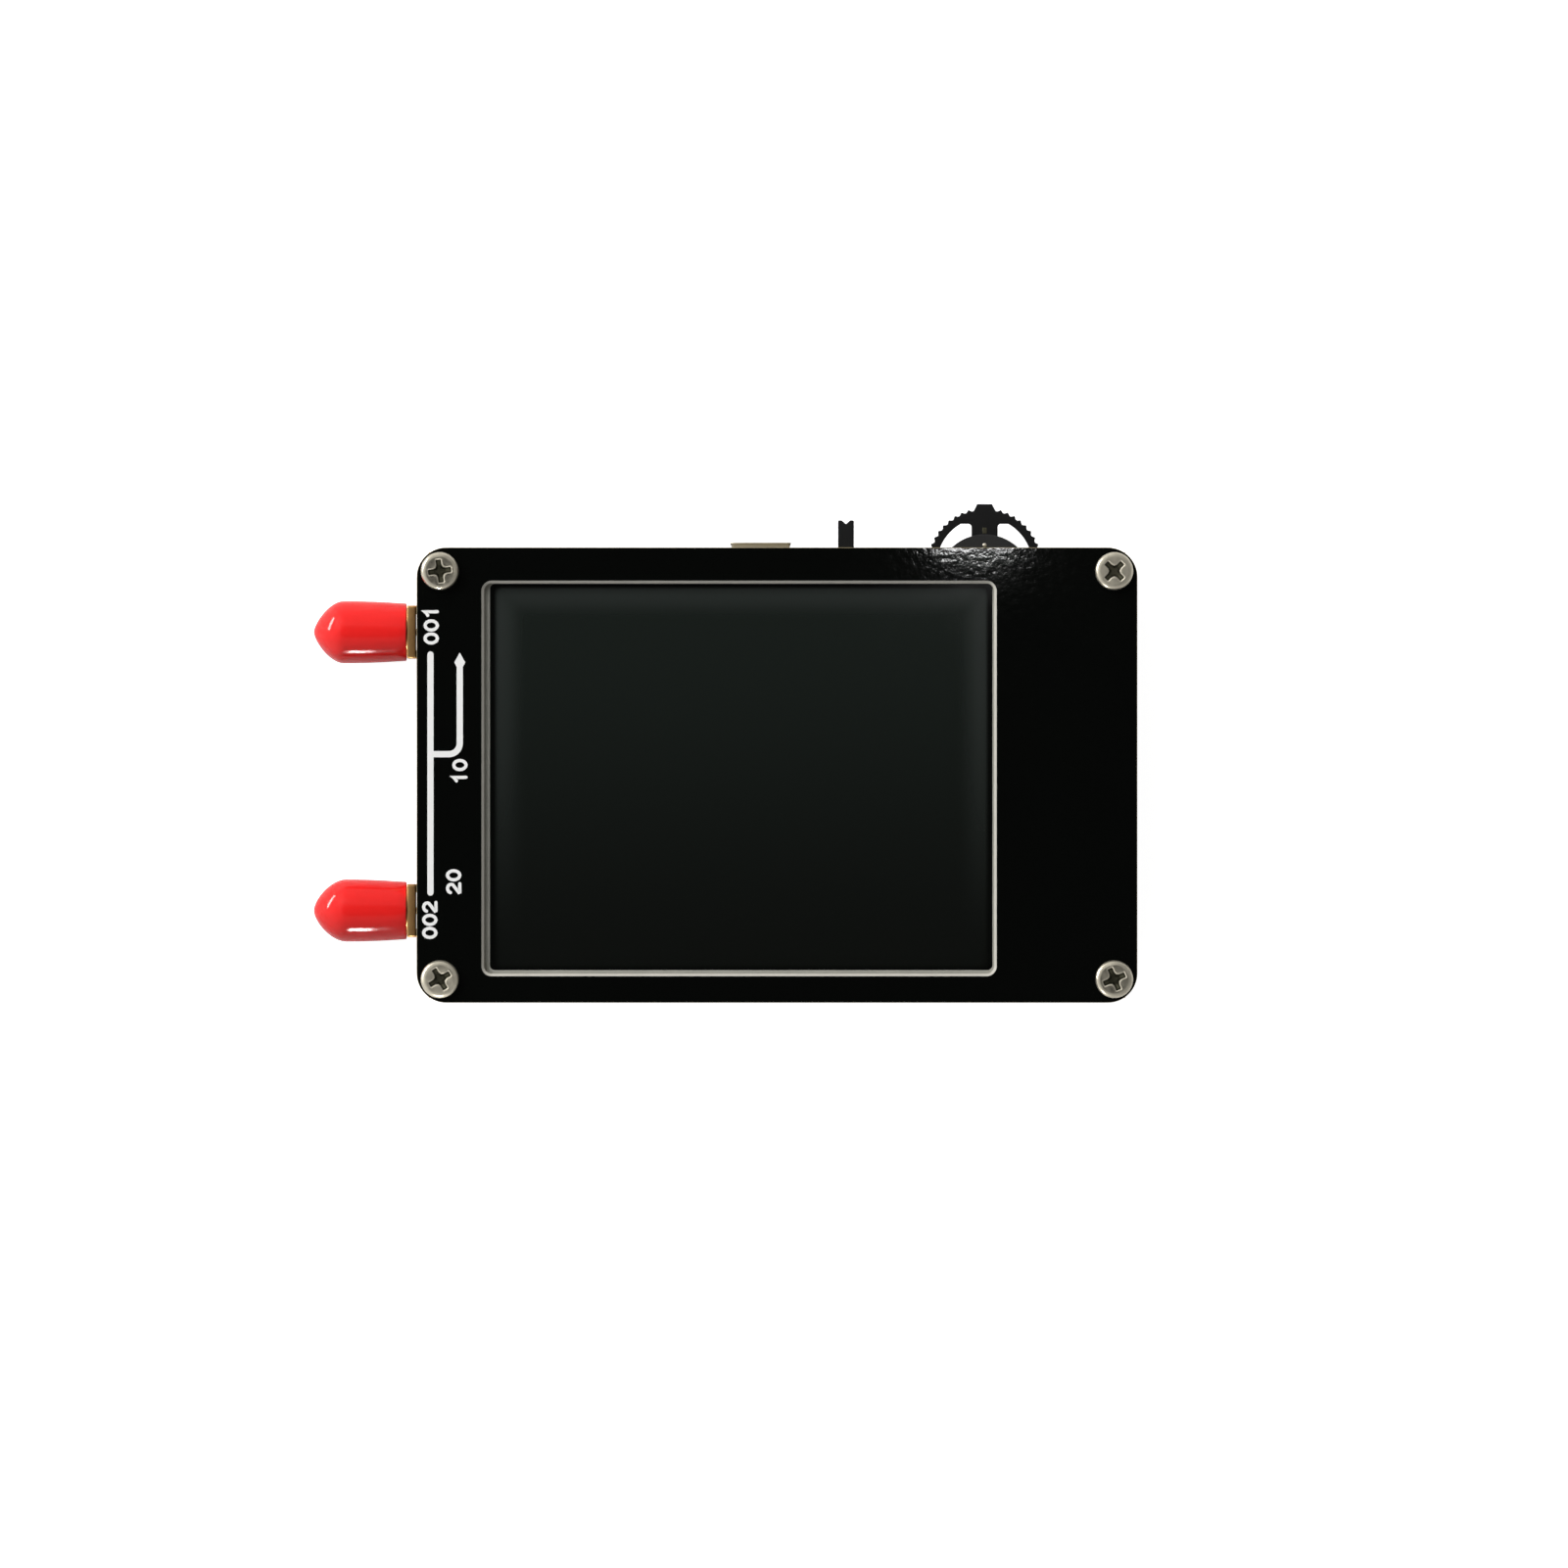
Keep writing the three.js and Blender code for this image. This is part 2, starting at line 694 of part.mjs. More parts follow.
function addPorts() {
  const ports = [
    { y: panelTop - portInsetTop, nosePower: pointedNosePower },
    { y: -panelTop + portInsetBottom, nosePower: roundNosePower },
  ];
  const jackX = -panelRight - jackBoardGap;
  const capX = jackX - flangeThickness - capMouthGap;
  ports.forEach(({ y, nosePower }, i) => {
    const port = `port_${i + 1}`;
    addPiece(`${port}_jack`, jack(), material.brass, jackX, y, portZ);
    addPiece(`${port}_insulator`, insulator(), material.whitePlastic, jackX, y, portZ);
    addPiece(`${port}_contact`, contact(), material.brass, jackX, y, portZ);
    addPiece(`${port}_cap`, dustCap(nosePower), material.capRed, capX, y, portZ);
  });
}

// The socket hangs under the board, its mouth just past the board's edge
function usbOutline(inset) {
  const slant = inset * Math.tan(Math.PI / 8);
  const wide = usbWidth / 2 - inset;
  const narrow = usbNarrowWidth / 2 - slant;
  return [
    new THREE.Vector2(-wide, -inset),
    new THREE.Vector2(-wide, slant - usbSideHeight),
    new THREE.Vector2(-narrow, inset - usbHeight),
    new THREE.Vector2(narrow, inset - usbHeight),
    new THREE.Vector2(wide, slant - usbSideHeight),
    new THREE.Vector2(wide, -inset),
  ];
}

function addUsbSocket() {
  const lipLength = usbProud - usbLipGap;
  const backWall = usbWall - usbLength;
  const shell = channel(usbOutline(0), -usbLength, -lipLength / 2)
    .add(channel(usbOutline(-usbLipFlare), -lipLength, 0))
    .subtract(channel(usbOutline(usbWall), backWall, overrun));
  const mouthY = panelTop + usbProud;
  addPiece('usb_shell', shell, material.steel, usbX, mouthY, boardBottom);
  const insertInset = usbWall + usbInsertClearance;
  const tongueTop = -usbWall - usbTongueDrop;
  const insert = channel(usbOutline(insertInset), backWall, backWall + usbInsertBack)
    .add(block(
      -usbTongueWidth / 2, usbTongueWidth / 2, backWall, -usbTongueInset,
      tongueTop - usbTongueThickness, tongueTop,
    ));
  addPiece('usb_tongue', insert, material.blackPlastic, usbX, mouthY, boardBottom);
}

// The lever's block slides in the folded cover, and its arm comes out through a slot
function addSlideSwitch() {
  const halfLength = (leverBlockLength + switchTravel) / 2 + switchSlack + switchWall;
  const frontY = panelTop - switchInset;
  const cavityTop = -switchBaseThickness;
  const cavityBottom = switchWall - switchHeight;
  const base = block(-halfLength, halfLength, -switchDepth, 0, cavityTop, 0);
  addPiece('switch_base', base, material.blackPlastic, switchX, frontY, boardBottom);
  const leverRestX = -switchTravel / 2;
  const slotHalf = leverWidth / 2 + leverSlotClearance;
  const cavity = block(
    switchWall - halfLength, halfLength - switchWall,
    switchWall - switchDepth, -switchWall, cavityBottom, overrun,
  );
  const armTop = cavityTop - switchClearance;
  const armBottom = armTop - leverArmThickness;
  const slot = block(
    leverRestX - slotHalf, leverRestX + switchTravel + slotHalf,
    -switchWall - switchClearance, overrun, armBottom - switchClearance, overrun,
  );
  const cover = block(-halfLength, halfLength, -switchDepth, 0, -switchHeight, cavityTop)
    .subtract(cavity)
    .subtract(slot);
  addPiece('switch_cover', cover, material.steel, switchX, frontY, boardBottom);
  const leverHalf = leverWidth / 2;
  const notchHalf = leverNotchWidth / 2;
  const tip = switchInset + leverLength;
  const shoulder = switchInset + switchClearance;
  const fingerMiddle = (armTop + armBottom) / 2;
  const finger = prism([
    new THREE.Vector2(-leverHalf, shoulder),
    new THREE.Vector2(leverHalf, shoulder),
    new THREE.Vector2(leverHalf, tip),
    new THREE.Vector2(notchHalf, tip),
    new THREE.Vector2(0, tip - leverNotchDepth),
    new THREE.Vector2(-notchHalf, tip),
    new THREE.Vector2(-leverHalf, tip),
  ], [], fingerMiddle - leverThickness / 2, fingerMiddle + leverThickness / 2);
  const slider = block(
    -leverBlockLength / 2, leverBlockLength / 2,
    switchWall + switchClearance - switchDepth, -switchWall - switchClearance,
    cavityBottom + switchClearance, cavityTop - switchClearance,
  );
  const arm = block(
    -leverHalf, leverHalf, -switchDepth / 2, shoulder + switchClearance, armBottom, armTop,
  );
  const lever = joined([slider, arm, finger]);
  addPiece('switch_lever', lever, material.blackPlastic, switchX + leverRestX, frontY, boardBottom);
}

// The wheel's outline: knurled on both sides of the nub, plain where it stays hidden
function jogWheelOutline() {
  const nubHalfAngle = Math.asin(jogNubWidth / 2 / jogWheelRadius);
  const knurlEnd = Math.PI + Math.asin(jogInset / jogWheelRadius);
  const knurlStart = Math.PI / 2 + nubHalfAngle;
  const pitchAngle = jogKnurlPitch / jogWheelRadius;
  const count = Math.round((knurlEnd - knurlStart) / pitchAngle);
  const step = (knurlEnd - knurlStart) / count;
  const valleyRadius = jogWheelRadius - jogKnurlDepth;
  const at = (radius, angle) => {
    return new THREE.Vector2(radius * Math.cos(angle), radius * Math.sin(angle));
  };
  const leftSide = [];
  for (let i = 0; i < count; i += 1) {
    const angle = knurlStart + i * step;
    leftSide.push(at(valleyRadius, angle + step / 8), at(valleyRadius, angle + step * 3 / 8));
    leftSide.push(at(jogWheelRadius, angle + step / 2), at(jogWheelRadius, angle + step * 7 / 8));
  }
  const nubTop = jogWheelRadius + jogNubHeight;
  const nubHalf = jogNubWidth / 2;
  const rightSide = leftSide.map((point) => new THREE.Vector2(-point.x, point.y)).reverse();
  const hidden = arc(0, 0, jogWheelRadius, knurlEnd, 3 * Math.PI - knurlEnd, turnSteps / 2);
  return [
    ...rightSide,
    at(jogWheelRadius, Math.PI / 2 - nubHalfAngle),
    new THREE.Vector2(nubHalf * 3 / 4, nubTop),
    new THREE.Vector2(-nubHalf * 3 / 4, nubTop),
    at(jogWheelRadius, Math.PI / 2 + nubHalfAngle),
    ...leftSide,
    ...hidden.slice(1, -1),
  ];
}

// One of the wheel's two windows, between hub, spoke and rim
function jogWindow(side) {
  const outerRadius = jogWheelRadius - jogRimSide;
  const top = jogWheelRadius - jogRimTop;
  const spoke = jogSpokeWidth / 2;
  const low = Math.PI / 15;
  const outerEnd = Math.asin(top / outerRadius);
  const innerEnd = Math.acos(spoke / jogHubRadius);
  const points = [
    ...arc(0, 0, outerRadius, low, outerEnd, cornerSteps),
    new THREE.Vector2(spoke + jogWindowRound, top),
    new THREE.Vector2(spoke, top - jogWindowRound),
    ...arc(0, 0, jogHubRadius, innerEnd, low, cornerSteps),
  ];
  return points.map((point) => new THREE.Vector2(side * point.x, point.y));
}

function addJogSwitch() {
  const centerY = panelTop - jogInset;
  const coverBottom = boardBottom - jogCoverThickness;
  const wheelTop = coverBottom - jogCoverClearance;
  const wheelBottom = wheelTop - jogWheelThickness;
  const carrierTop = wheelBottom - jogRunClearance;
  const carrierBottom = carrierTop - jogCarrierThickness;
  const floorTop = carrierBottom - jogRunClearance;
  const floorBottom = floorTop - jogFloorThickness;
  const coverHalf = jogCoverWidth / 2;
  const arcStart = Math.acos(coverHalf / jogCoverArcRadius);
  const coverOutline = [
    new THREE.Vector2(-coverHalf, -jogBackRear),
    new THREE.Vector2(coverHalf, -jogBackRear),
    ...arc(0, -jogCoverArcDrop, jogCoverArcRadius, arcStart, Math.PI - arcStart, turnSteps / 2),
  ];
  const cover = prism(coverOutline, [], coverBottom, boardBottom);
  addPiece('jog_cover', cover, material.blackPlastic, jogX, centerY);
  const railInner = jogCarrierWidth / 2 + jogRunClearance;
  const railOuter = railInner + jogRailWidth;
  const floorFront = jogInset - jogFloorInset;
  const base = joined([
    block(-railOuter, railOuter, -jogBackRear, floorFront, floorBottom, floorTop),
    block(-railOuter, -railInner, -jogBackRear, floorFront, floorBottom, carrierTop),
    block(railInner, railOuter, -jogBackRear, floorFront, floorBottom, carrierTop),
    block(-coverHalf, coverHalf, -jogBackRear, -jogBackFront, floorBottom, coverBottom),
  ]);
  addPiece('jog_base', base, material.blackPlastic, jogX, centerY);
  const carrierHalf = jogCarrierWidth / 2;
  const carrier = block(
    -carrierHalf, carrierHalf, -jogCarrierBack, jogCarrierFront, carrierBottom, carrierTop,
  ).add(rod(jogSpindleRadius, carrierBottom, wheelTop + jogSpindleProud, holeSteps));
  addPiece('jog_carrier', carrier, material.steel, jogX, centerY);
  const bore = circle(0, 0, jogSpindleRadius + jogSpindleClearance, holeSteps);
  const holes = [bore, jogWindow(1), jogWindow(-1)];
  const wheel = prism(jogWheelOutline(), holes, wheelBottom, wheelTop);
  addPiece('jog_wheel', wheel, material.blackPlastic, jogX, centerY);
}

// The battery is taped to the rear face of the main board, its leads run to a plug
function addBattery() {
  const ledgeBack = batteryTop - batteryLedgeWidth;
  const cellTop = boardBottom - batteryTapeThickness;
  const cellBottom = cellTop - batteryThickness;
  const ledgeMiddle = (cellTop + cellBottom) / 2;
  const outline = roundedOutline(
    batteryLeft, batteryRight, batteryBottom, ledgeBack, batteryCornerRadius,
  );
  const cell = prism(outline, [], cellBottom, cellTop).add(block(
    batteryLeft + batteryCornerRadius, batteryRight - batteryCornerRadius,
    ledgeBack - overrun, batteryTop,
    ledgeMiddle - batteryLedgeThickness / 2, ledgeMiddle + batteryLedgeThickness / 2,
  ));
  addPiece('battery_cell', cell, material.batteryFoil);
  const tape = block(
    batteryLeft + batteryTapeInset, batteryRight - batteryTapeInset,
    batteryBottom + batteryTapeInset, ledgeBack - batteryTapeInset, cellTop, boardBottom,
  );
  addPiece('battery_tape', tape, material.foamTape);

  const plugBack = batteryTop + plugRise;
  const plugMiddle = boardBottom - socketWall - plugClearance - plugHeight / 2;
  const plugHalf = plugWidth / 2;
  const plug = block(
    plugX - plugHalf, plugX + plugHalf, plugBack, plugBack + plugLength,
    plugMiddle - plugHeight / 2, plugMiddle + plugHeight / 2,
  );
  addPiece('battery_plug', plug, material.whitePlastic);
  const cavityHalf = plugHalf + plugClearance;
  const cavityHeight = plugHeight / 2 + plugClearance;
  const socketFront = plugBack + plugProud;
  const cavityBack = plugBack + plugLength + plugClearance;
  const socket = block(
    plugX - socketHalf, plugX + socketHalf, socketFront, cavityBack + socketWall,
    plugMiddle - cavityHeight - socketWall, boardBottom,
  ).subtract(block(
    plugX - cavityHalf, plugX + cavityHalf, socketFront - overrun, cavityBack,
    plugMiddle - cavityHeight, plugMiddle + cavityHeight,
  ));
  addPiece('battery_socket', socket, material.whitePlastic);

  const leads = [
    { name: 'battery_lead_red', look: material.leadRed, side: 1, order: 0 },
    { name: 'battery_lead_black', look: material.leadBlack, side: -1, order: 1 },
  ];
  leads.forEach(({ name, look, side, order }) => {
    const startX = batteryRight - leadStartInset + order * leadStartPitch;
    const startY = batteryTop + leadGap;
    const endX = plugX - side * leadPitch / 2;
    const endY = plugBack - leadGap;
    const runY = batteryTop + leadFirstRun + order * leadPitch;
    const turnRoom = leadPitch;
    const runZ = (ledgeMiddle + plugMiddle) / 2;
    const path = new THREE.CatmullRomCurve3([
      new THREE.Vector3(startX, startY, ledgeMiddle),
      new THREE.Vector3(startX - turnRoom, runY, ledgeMiddle),
      new THREE.Vector3((startX + endX) / 2, runY, runZ),
      new THREE.Vector3(endX + turnRoom, runY, plugMiddle),
      new THREE.Vector3(endX, endY, plugMiddle),
    ]);
    const section = new THREE.Shape(circle(0, 0, leadRadius, leadSides));
    const lead = new THREE.ExtrudeGeometry(section, { steps: leadSteps, extrudePath: path });
    addPiece(name, solidOf(lead), look);
  });
}

// Chips and cans hang under the main board, one column of them beside the battery
function chip(length, width, thickness) {
  return block(-length / 2, length / 2, -width / 2, width / 2, -thickness, 0);
}

function addChip(name, solid, look, x, y) {
  addPiece(name, solid, look, x, y, boardBottom);
}

function addCircuit() {
  const can = chip(shieldLength, shieldWidth, shieldHeight).subtract(block(
    shieldWall - shieldLength / 2, shieldLength / 2 - shieldWall,
    shieldWall - shieldWidth / 2, shieldWidth / 2 - shieldWall,
    shieldWall - shieldHeight, overrun,
  ));
  const shieldY = shieldYShare * panelWidth;
  addChip('shield_can_1', can, material.shieldTin, shieldX, shieldY);
  addChip('shield_can_2', can, material.shieldTin, shieldX, -shieldY);
  const mixer = chip(mixerLength, mixerWidth, mixerThickness);
  const shift = mixerSpreadShare * shieldLength;
  const mixerPlaces = [[shieldX - shift, shieldY], [shieldX + shift, shieldY], [shieldX, -shieldY]];
  mixerPlaces.forEach(([x, y], i) => {
    addChip(`mixer_chip_${i + 1}`, mixer, material.chipBlack, x, y);
  });
  const column = [
    { name: 'processor', side: processorSide, height: processorThickness, share: processorYShare },
    { name: 'codec_chip', side: codecSide, height: codecThickness, share: codecYShare },
    { name: 'clock_chip', side: clockChipSide, height: clockChipThickness, share: clockChipYShare },
  ];
  column.forEach(({ name, side, height, share }) => {
    addChip(name, chip(side, side, height), material.chipBlack, processorX, share * panelWidth);
  });
  const crystal = chip(crystalLength, crystalWidth, crystalThickness);
  addChip('crystal', crystal, material.shieldTin, processorX, crystalYShare * panelWidth);
  const powerChip = chip(powerChipLength, powerChipWidth, powerChipThickness);
  const chargerX = processorX + (crystalLength + powerChipLength) / 2 + chargerRoom;
  addChip('charger_chip', powerChip, material.chipBlack, chargerX, chargerYShare * panelWidth);
  const regulatorX = plugX - socketHalf - regulatorRoom - powerChipLength / 2;
  addChip('regulator', powerChip, material.chipBlack, regulatorX, batteryTop + regulatorRise);
}

addBoards();
addPosts();
addScrews();
addDisplay();
addFlex();
addPorts();
addUsbSocket();
addSlideSwitch();
addJogSwitch();
addBattery();
addCircuit();

// The origin goes under the middle of the whole part
const extent = new THREE.Box3().setFromObject(analyzer);
const middle = extent.getCenter(new THREE.Vector3());
analyzer.position.set(-middle.x, -middle.y, -extent.min.z);
const part = new THREE.Group();
part.add(analyzer);

export default part;
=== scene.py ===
import math
import random

import bpy
from mathutils import Matrix, Vector
from mathutils.geometry import interpolate_bezier, tessellate_polygon


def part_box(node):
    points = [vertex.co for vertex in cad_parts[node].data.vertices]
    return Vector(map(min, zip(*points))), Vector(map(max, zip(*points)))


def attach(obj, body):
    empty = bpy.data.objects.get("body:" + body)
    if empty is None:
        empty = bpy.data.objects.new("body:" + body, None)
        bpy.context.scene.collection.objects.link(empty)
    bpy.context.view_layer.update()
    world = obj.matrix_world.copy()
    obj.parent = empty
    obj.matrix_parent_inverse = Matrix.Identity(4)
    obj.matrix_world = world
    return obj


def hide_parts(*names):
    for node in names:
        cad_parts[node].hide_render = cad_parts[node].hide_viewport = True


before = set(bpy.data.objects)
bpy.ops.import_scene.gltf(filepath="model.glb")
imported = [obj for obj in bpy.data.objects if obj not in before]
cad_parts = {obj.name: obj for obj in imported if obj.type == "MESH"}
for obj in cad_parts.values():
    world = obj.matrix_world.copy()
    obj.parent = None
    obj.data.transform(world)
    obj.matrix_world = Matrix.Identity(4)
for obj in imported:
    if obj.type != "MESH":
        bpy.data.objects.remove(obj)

# Camera
# The analyzer lies flat and is seen from straight above, with its front panel square
# to the view. Sizes in this script are in millimetres, and MM turns them into metres.
MM = 0.001
scene = bpy.context.scene
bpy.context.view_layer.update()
panel_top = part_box("front_panel")[1].z / MM
view_middle = (7.0, -3.68)
view_width = 186.0
camera_rise = 2500
sensor_width = 36


def add_object(name, data):
    made = bpy.data.objects.new(name, data)
    scene.collection.objects.link(made)
    return made


camera_data = bpy.data.cameras.new("camera")
camera_data.sensor_width = sensor_width
camera_data.lens = sensor_width * camera_rise / view_width
camera = add_object("camera", camera_data)
camera.location = Vector((*view_middle, panel_top + camera_rise)) * MM
scene.camera = camera
scene.view_settings.view_transform = "Standard"


# Light
# A soft box at the upper left does most of the lighting, and shines less than it lights. Small
# lamps that only shine draw the glints on the caps and the panel's edge. The sky is dim
# overhead and on the right, so that flat gloss stays black, and white near the horizon.
key_turn = 136
key_rise = 40
key_distance = 900
key_size = 700
key_power = 7.9
key_shine = 0.73
side_turn = 156
side_rise = 9
side_size = (560, 120)
side_power = 4.8
strip_place = (-43, -135, 37)
strip_aim = (-45, 0, 8)
strip_size = (12, 28)
strip_power = 0.055
spot_place = (30.9, 27.8, 142)
spot_aim = (31, 24, 12)
spot_size = (9, 2)
spot_power = 0.0022
sky_steps = ((0.0, 0.95), (0.38, 0.9), (0.62, 0.7), (0.91, 0.62), (0.96, 0.025))
sky_fill = 0.6
sky_far_side = 0.35


def around(turn, rise, distance):
    """A place at a distance from the object, its direction given in degrees."""
    turn, rise = math.radians(turn), math.radians(rise)
    flat = math.cos(rise)
    return Vector((flat * math.cos(turn), flat * math.sin(turn), math.sin(rise))) * distance


def lamp(name, place, size, power, aim=(0, 0, 0), lights=False):
    """A rectangular lamp of a size in millimetres that lights the object or only shines on it."""
    light = bpy.data.lights.new(name, "AREA")
    light.shape = "RECTANGLE"
    light.size = size[0] * MM
    light.size_y = size[1] * MM
    light.energy = power
    hung = add_object(name, light)
    hung.location = Vector(place) * MM
    hung.rotation_euler = (Vector(place) - Vector(aim)).to_track_quat("Z", "Y").to_euler()
    hung.visible_camera = False
    hung.visible_diffuse = lights
    hung.visible_glossy = not lights


def wire(tree, target, inputs):
    """Gives a node's inputs their values, or links them to the outputs of other nodes."""
    for label, value in inputs.items():
        if isinstance(value, bpy.types.NodeSocket):
            tree.links.new(value, target.inputs[label])
        else:
            target.inputs[label].default_value = value


def add_node(tree, kind, inputs=None, **settings):
    made = tree.nodes.new(kind)
    for setting, value in settings.items():
        setattr(made, setting, value)
    wire(tree, made, inputs or {})
    return made


def ranged(tree, value, start, end, low, high, way="LINEAR"):
    """A value taken from the range between start and end to the one between low and high."""
    given = {"Value": value, "From Min": start, "From Max": end, "To Min": low, "To Max": high}
    return add_node(tree, "ShaderNodeMapRange", given, interpolation_type=way).outputs["Result"]


def mixed(tree, factor, first, second):
    """A colour between two others."""
    given = {"Factor": factor, "A": first, "B": second}
    return add_node(tree, "ShaderNodeMix", given, data_type="RGBA").outputs["Result"]


key_place = around(key_turn, key_rise, key_distance)
lamp("soft_box", key_place, (key_size, key_size), key_power, lights=True)
lamp("soft_box_shine", key_place, (key_size, key_size), key_power * key_shine)
lamp("side_strip", around(side_turn, side_rise, key_distance), side_size, side_power)
lamp("low_strip", strip_place, strip_size, strip_power, strip_aim)
lamp("small_window", spot_place, spot_size, spot_power, spot_aim)

world = bpy.data.worlds.new("world")
world.use_nodes = True
scene.world = world
sky = world.node_tree
sky_place = add_node(sky, "ShaderNodeTexCoord").outputs["Generated"]
sky_axes = add_node(sky, "ShaderNodeSeparateXYZ", {"Vector": sky_place}).outputs
sky_ramp = add_node(sky, "ShaderNodeValToRGB", {"Fac": sky_axes["Z"]})
for _ in sky_steps[2:]:
    sky_ramp.color_ramp.elements.new(0.5)
for element, (height, level) in zip(sky_ramp.color_ramp.elements, sky_steps):
    element.position = height
    element.color = (level, level, level, 1)
sky_side = ranged(sky, sky_axes["X"], -1, 1, 1, sky_far_side)
sky_shade = add_node(sky, "ShaderNodeVectorMath", {
    "Vector": sky_ramp.outputs["Color"], "Scale": sky_side,
}, operation="SCALE")
sky_rays = add_node(sky, "ShaderNodeLightPath").outputs
wire(sky, sky.nodes["Background"], {
    "Color": mixed(sky, sky_rays["Is Camera Ray"], sky_shade.outputs["Vector"], (1, 1, 1, 1)),
    "Strength": ranged(sky, sky_rays["Is Diffuse Ray"], 0, 1, 1, sky_fill),
})


# Floor
# A sheet of white paper under the object. It glows where the camera sees it, and faintly
# in reflections, so that it renders white and still takes the object's shadow.
floor_half = 3000
floor_white = (0.78, 0.78, 0.78, 1)
floor_roughness = 0.9
floor_glow = 0.9
floor_gloss_glow = 0.15


def new_look(name):
    """A new material and its node tree."""
    look = bpy.data.materials.new(name)
    look.use_nodes = True
    return look, look.node_tree


def reckon(tree, operation, *values):
    """The result of a math node."""
    return add_node(tree, "ShaderNodeMath", dict(enumerate(values)), operation=operation).outputs[0]


floor_mesh = bpy.data.meshes.new("floor")
floor_corners = [Vector((x, y, 0)) * floor_half * MM for x, y in ((-1, -1), (1, -1), (1, 1), (-1, 1))]
floor_mesh.from_pydata(floor_corners, [], [(0, 1, 2, 3)])
paper, paper_tree = new_look("paper")
paper_rays = add_node(paper_tree, "ShaderNodeLightPath").outputs
paper_seen = reckon(paper_tree, "MULTIPLY", paper_rays["Is Camera Ray"], floor_glow)
paper_glow = reckon(paper_tree, "MULTIPLY_ADD", paper_rays["Is Glossy Ray"], floor_gloss_glow,
                    paper_seen)
wire(paper_tree, paper_tree.nodes["Principled BSDF"], {
    "Base Color": floor_white, "Roughness": floor_roughness,
    "Emission Color": (1, 1, 1, 1), "Emission Strength": paper_glow,
})
floor_mesh.materials.append(paper)
add_object("floor", floor_mesh)


# Rear panel
# The lowest board: glass-fibre laminate with black solder mask on both faces and bare
# cut edges, held on the rear posts by four screws. It closes the back of the stack.
board_corner = 3.5
board_edge = 0.06
hole_radius = 1.35
hole_inset = (2.75, 2.8)
mask_black = (5, 6, 5)
laminate = (128, 117, 88)
broad_grain = 0.09
grain_middle = (0.3, 0.7)
least_roughness = 0.02
corner_per_edge = 1.3
crease_angle = 38


def tint(colour, factor=1.0):
    """A colour given from 0 to 255 as a screen shows it, in the shader's own linear values."""
    linear = []
    for channel in colour:
        value = channel / 255
        low = value / 12.92
        linear.append(factor * (low if value <= 0.04045 else ((value + 0.055) / 1.055) ** 2.4))
    return (*linear, 1)


def finish(name, colour, roughness, metallic=0, grain=0.6, tone=0.12, spread=0.05,
           relief=0.002, stretch=(1, 1, 1), specular=0.5, coat=0):
    """A finish whose tone, roughness and relief follow a grain of a size in millimetres."""
    look, tree = new_look(name)
    place = add_node(tree, "ShaderNodeMapping", {
        "Vector": add_node(tree, "ShaderNodeTexCoord").outputs["Object"],
        "Scale": [side / (grain * MM) for side in stretch],
    }).outputs["Vector"]
    fine_noise = {"Vector": place, "Scale": 1, "Detail": 3}
    fine = add_node(tree, "ShaderNodeTexNoise", fine_noise).outputs["Fac"]
    broad = add_node(tree, "ShaderNodeTexNoise", {"Vector": place, "Scale": broad_grain}).outputs["Fac"]
    blend = reckon(tree, "MULTIPLY_ADD", fine, 0.5, reckon(tree, "MULTIPLY", broad, 0.5))
    toned = mixed(tree, blend, tint(colour, 1 - 2 * tone), tint(colour, 1 + 2 * tone))
    toned.node.name = "Tone"
    smoothest = max(roughness - spread, least_roughness)
    bump = add_node(tree, "ShaderNodeBump", {"Distance": relief * MM, "Height": fine})
    wire(tree, tree.nodes["Principled BSDF"], {
        "Metallic": metallic, "Specular IOR Level": specular, "Coat Weight": coat, "Base Color": toned,
        "Roughness": ranged(tree, blend, *grain_middle, smoothest, roughness + spread),
        "Normal": bump.outputs["Normal"],
    })
    return look


def arc(centre, radius, start, end, steps):
    """Points along an arc, its angles in degrees."""
    points = []
    for i in range(steps + 1):
        angle = math.radians(start + (end - start) * i / steps)
        points.append((centre[0] + radius * math.cos(angle), centre[1] + radius * math.sin(angle)))
    return points


def circle(radius, steps, centre=(0, 0), turn=0):
    return arc(centre, radius, turn, turn + 360, steps)[:-1]


def rounded(low, high, radius, steps=8):
    """An oblong between two corners, its own corners rounded."""
    left, right = low[0] + radius, high[0] - radius
    bottom, top = low[1] + radius, high[1] - radius
    outline = []
    for i, centre in enumerate(((right, top), (left, top), (left, bottom), (right, bottom))):
        outline += arc(centre, radius, 90 * i, 90 * i + 90, steps)
    return outline


def inset(outline, depth):
    """The outline moved to its left by a depth, which is inwards for one that runs anticlockwise."""
    if depth == 0:
        return outline
    moved = []
    for i, point in enumerate(outline):
        here = Vector(point)
        first = (here - Vector(outline[i - 1])).normalized().orthogonal()
        second = (Vector(outline[(i + 1) % len(outline)]) - here).normalized().orthogonal()
        side = (first + second) / (1 + first.dot(second))
        moved.append(tuple(here + side * depth))
    return moved


def edge_levels(bottom, top, low_edge, high_edge, steps=3):
    """Insets and heights of a wall whose lower and upper edges are rounded."""
    turns = [math.radians(90 * i / steps) for i in range(steps + 1)]
    low = [(low_edge * (1 - math.sin(t)), bottom + low_edge * (1 - math.cos(t))) for t in turns]
    high = [(high_edge * (1 - math.cos(t)), top - high_edge * (1 - math.sin(t))) for t in turns]
    return (low if low_edge else [(0, bottom)]) + (high if high_edge else [(0, top)])


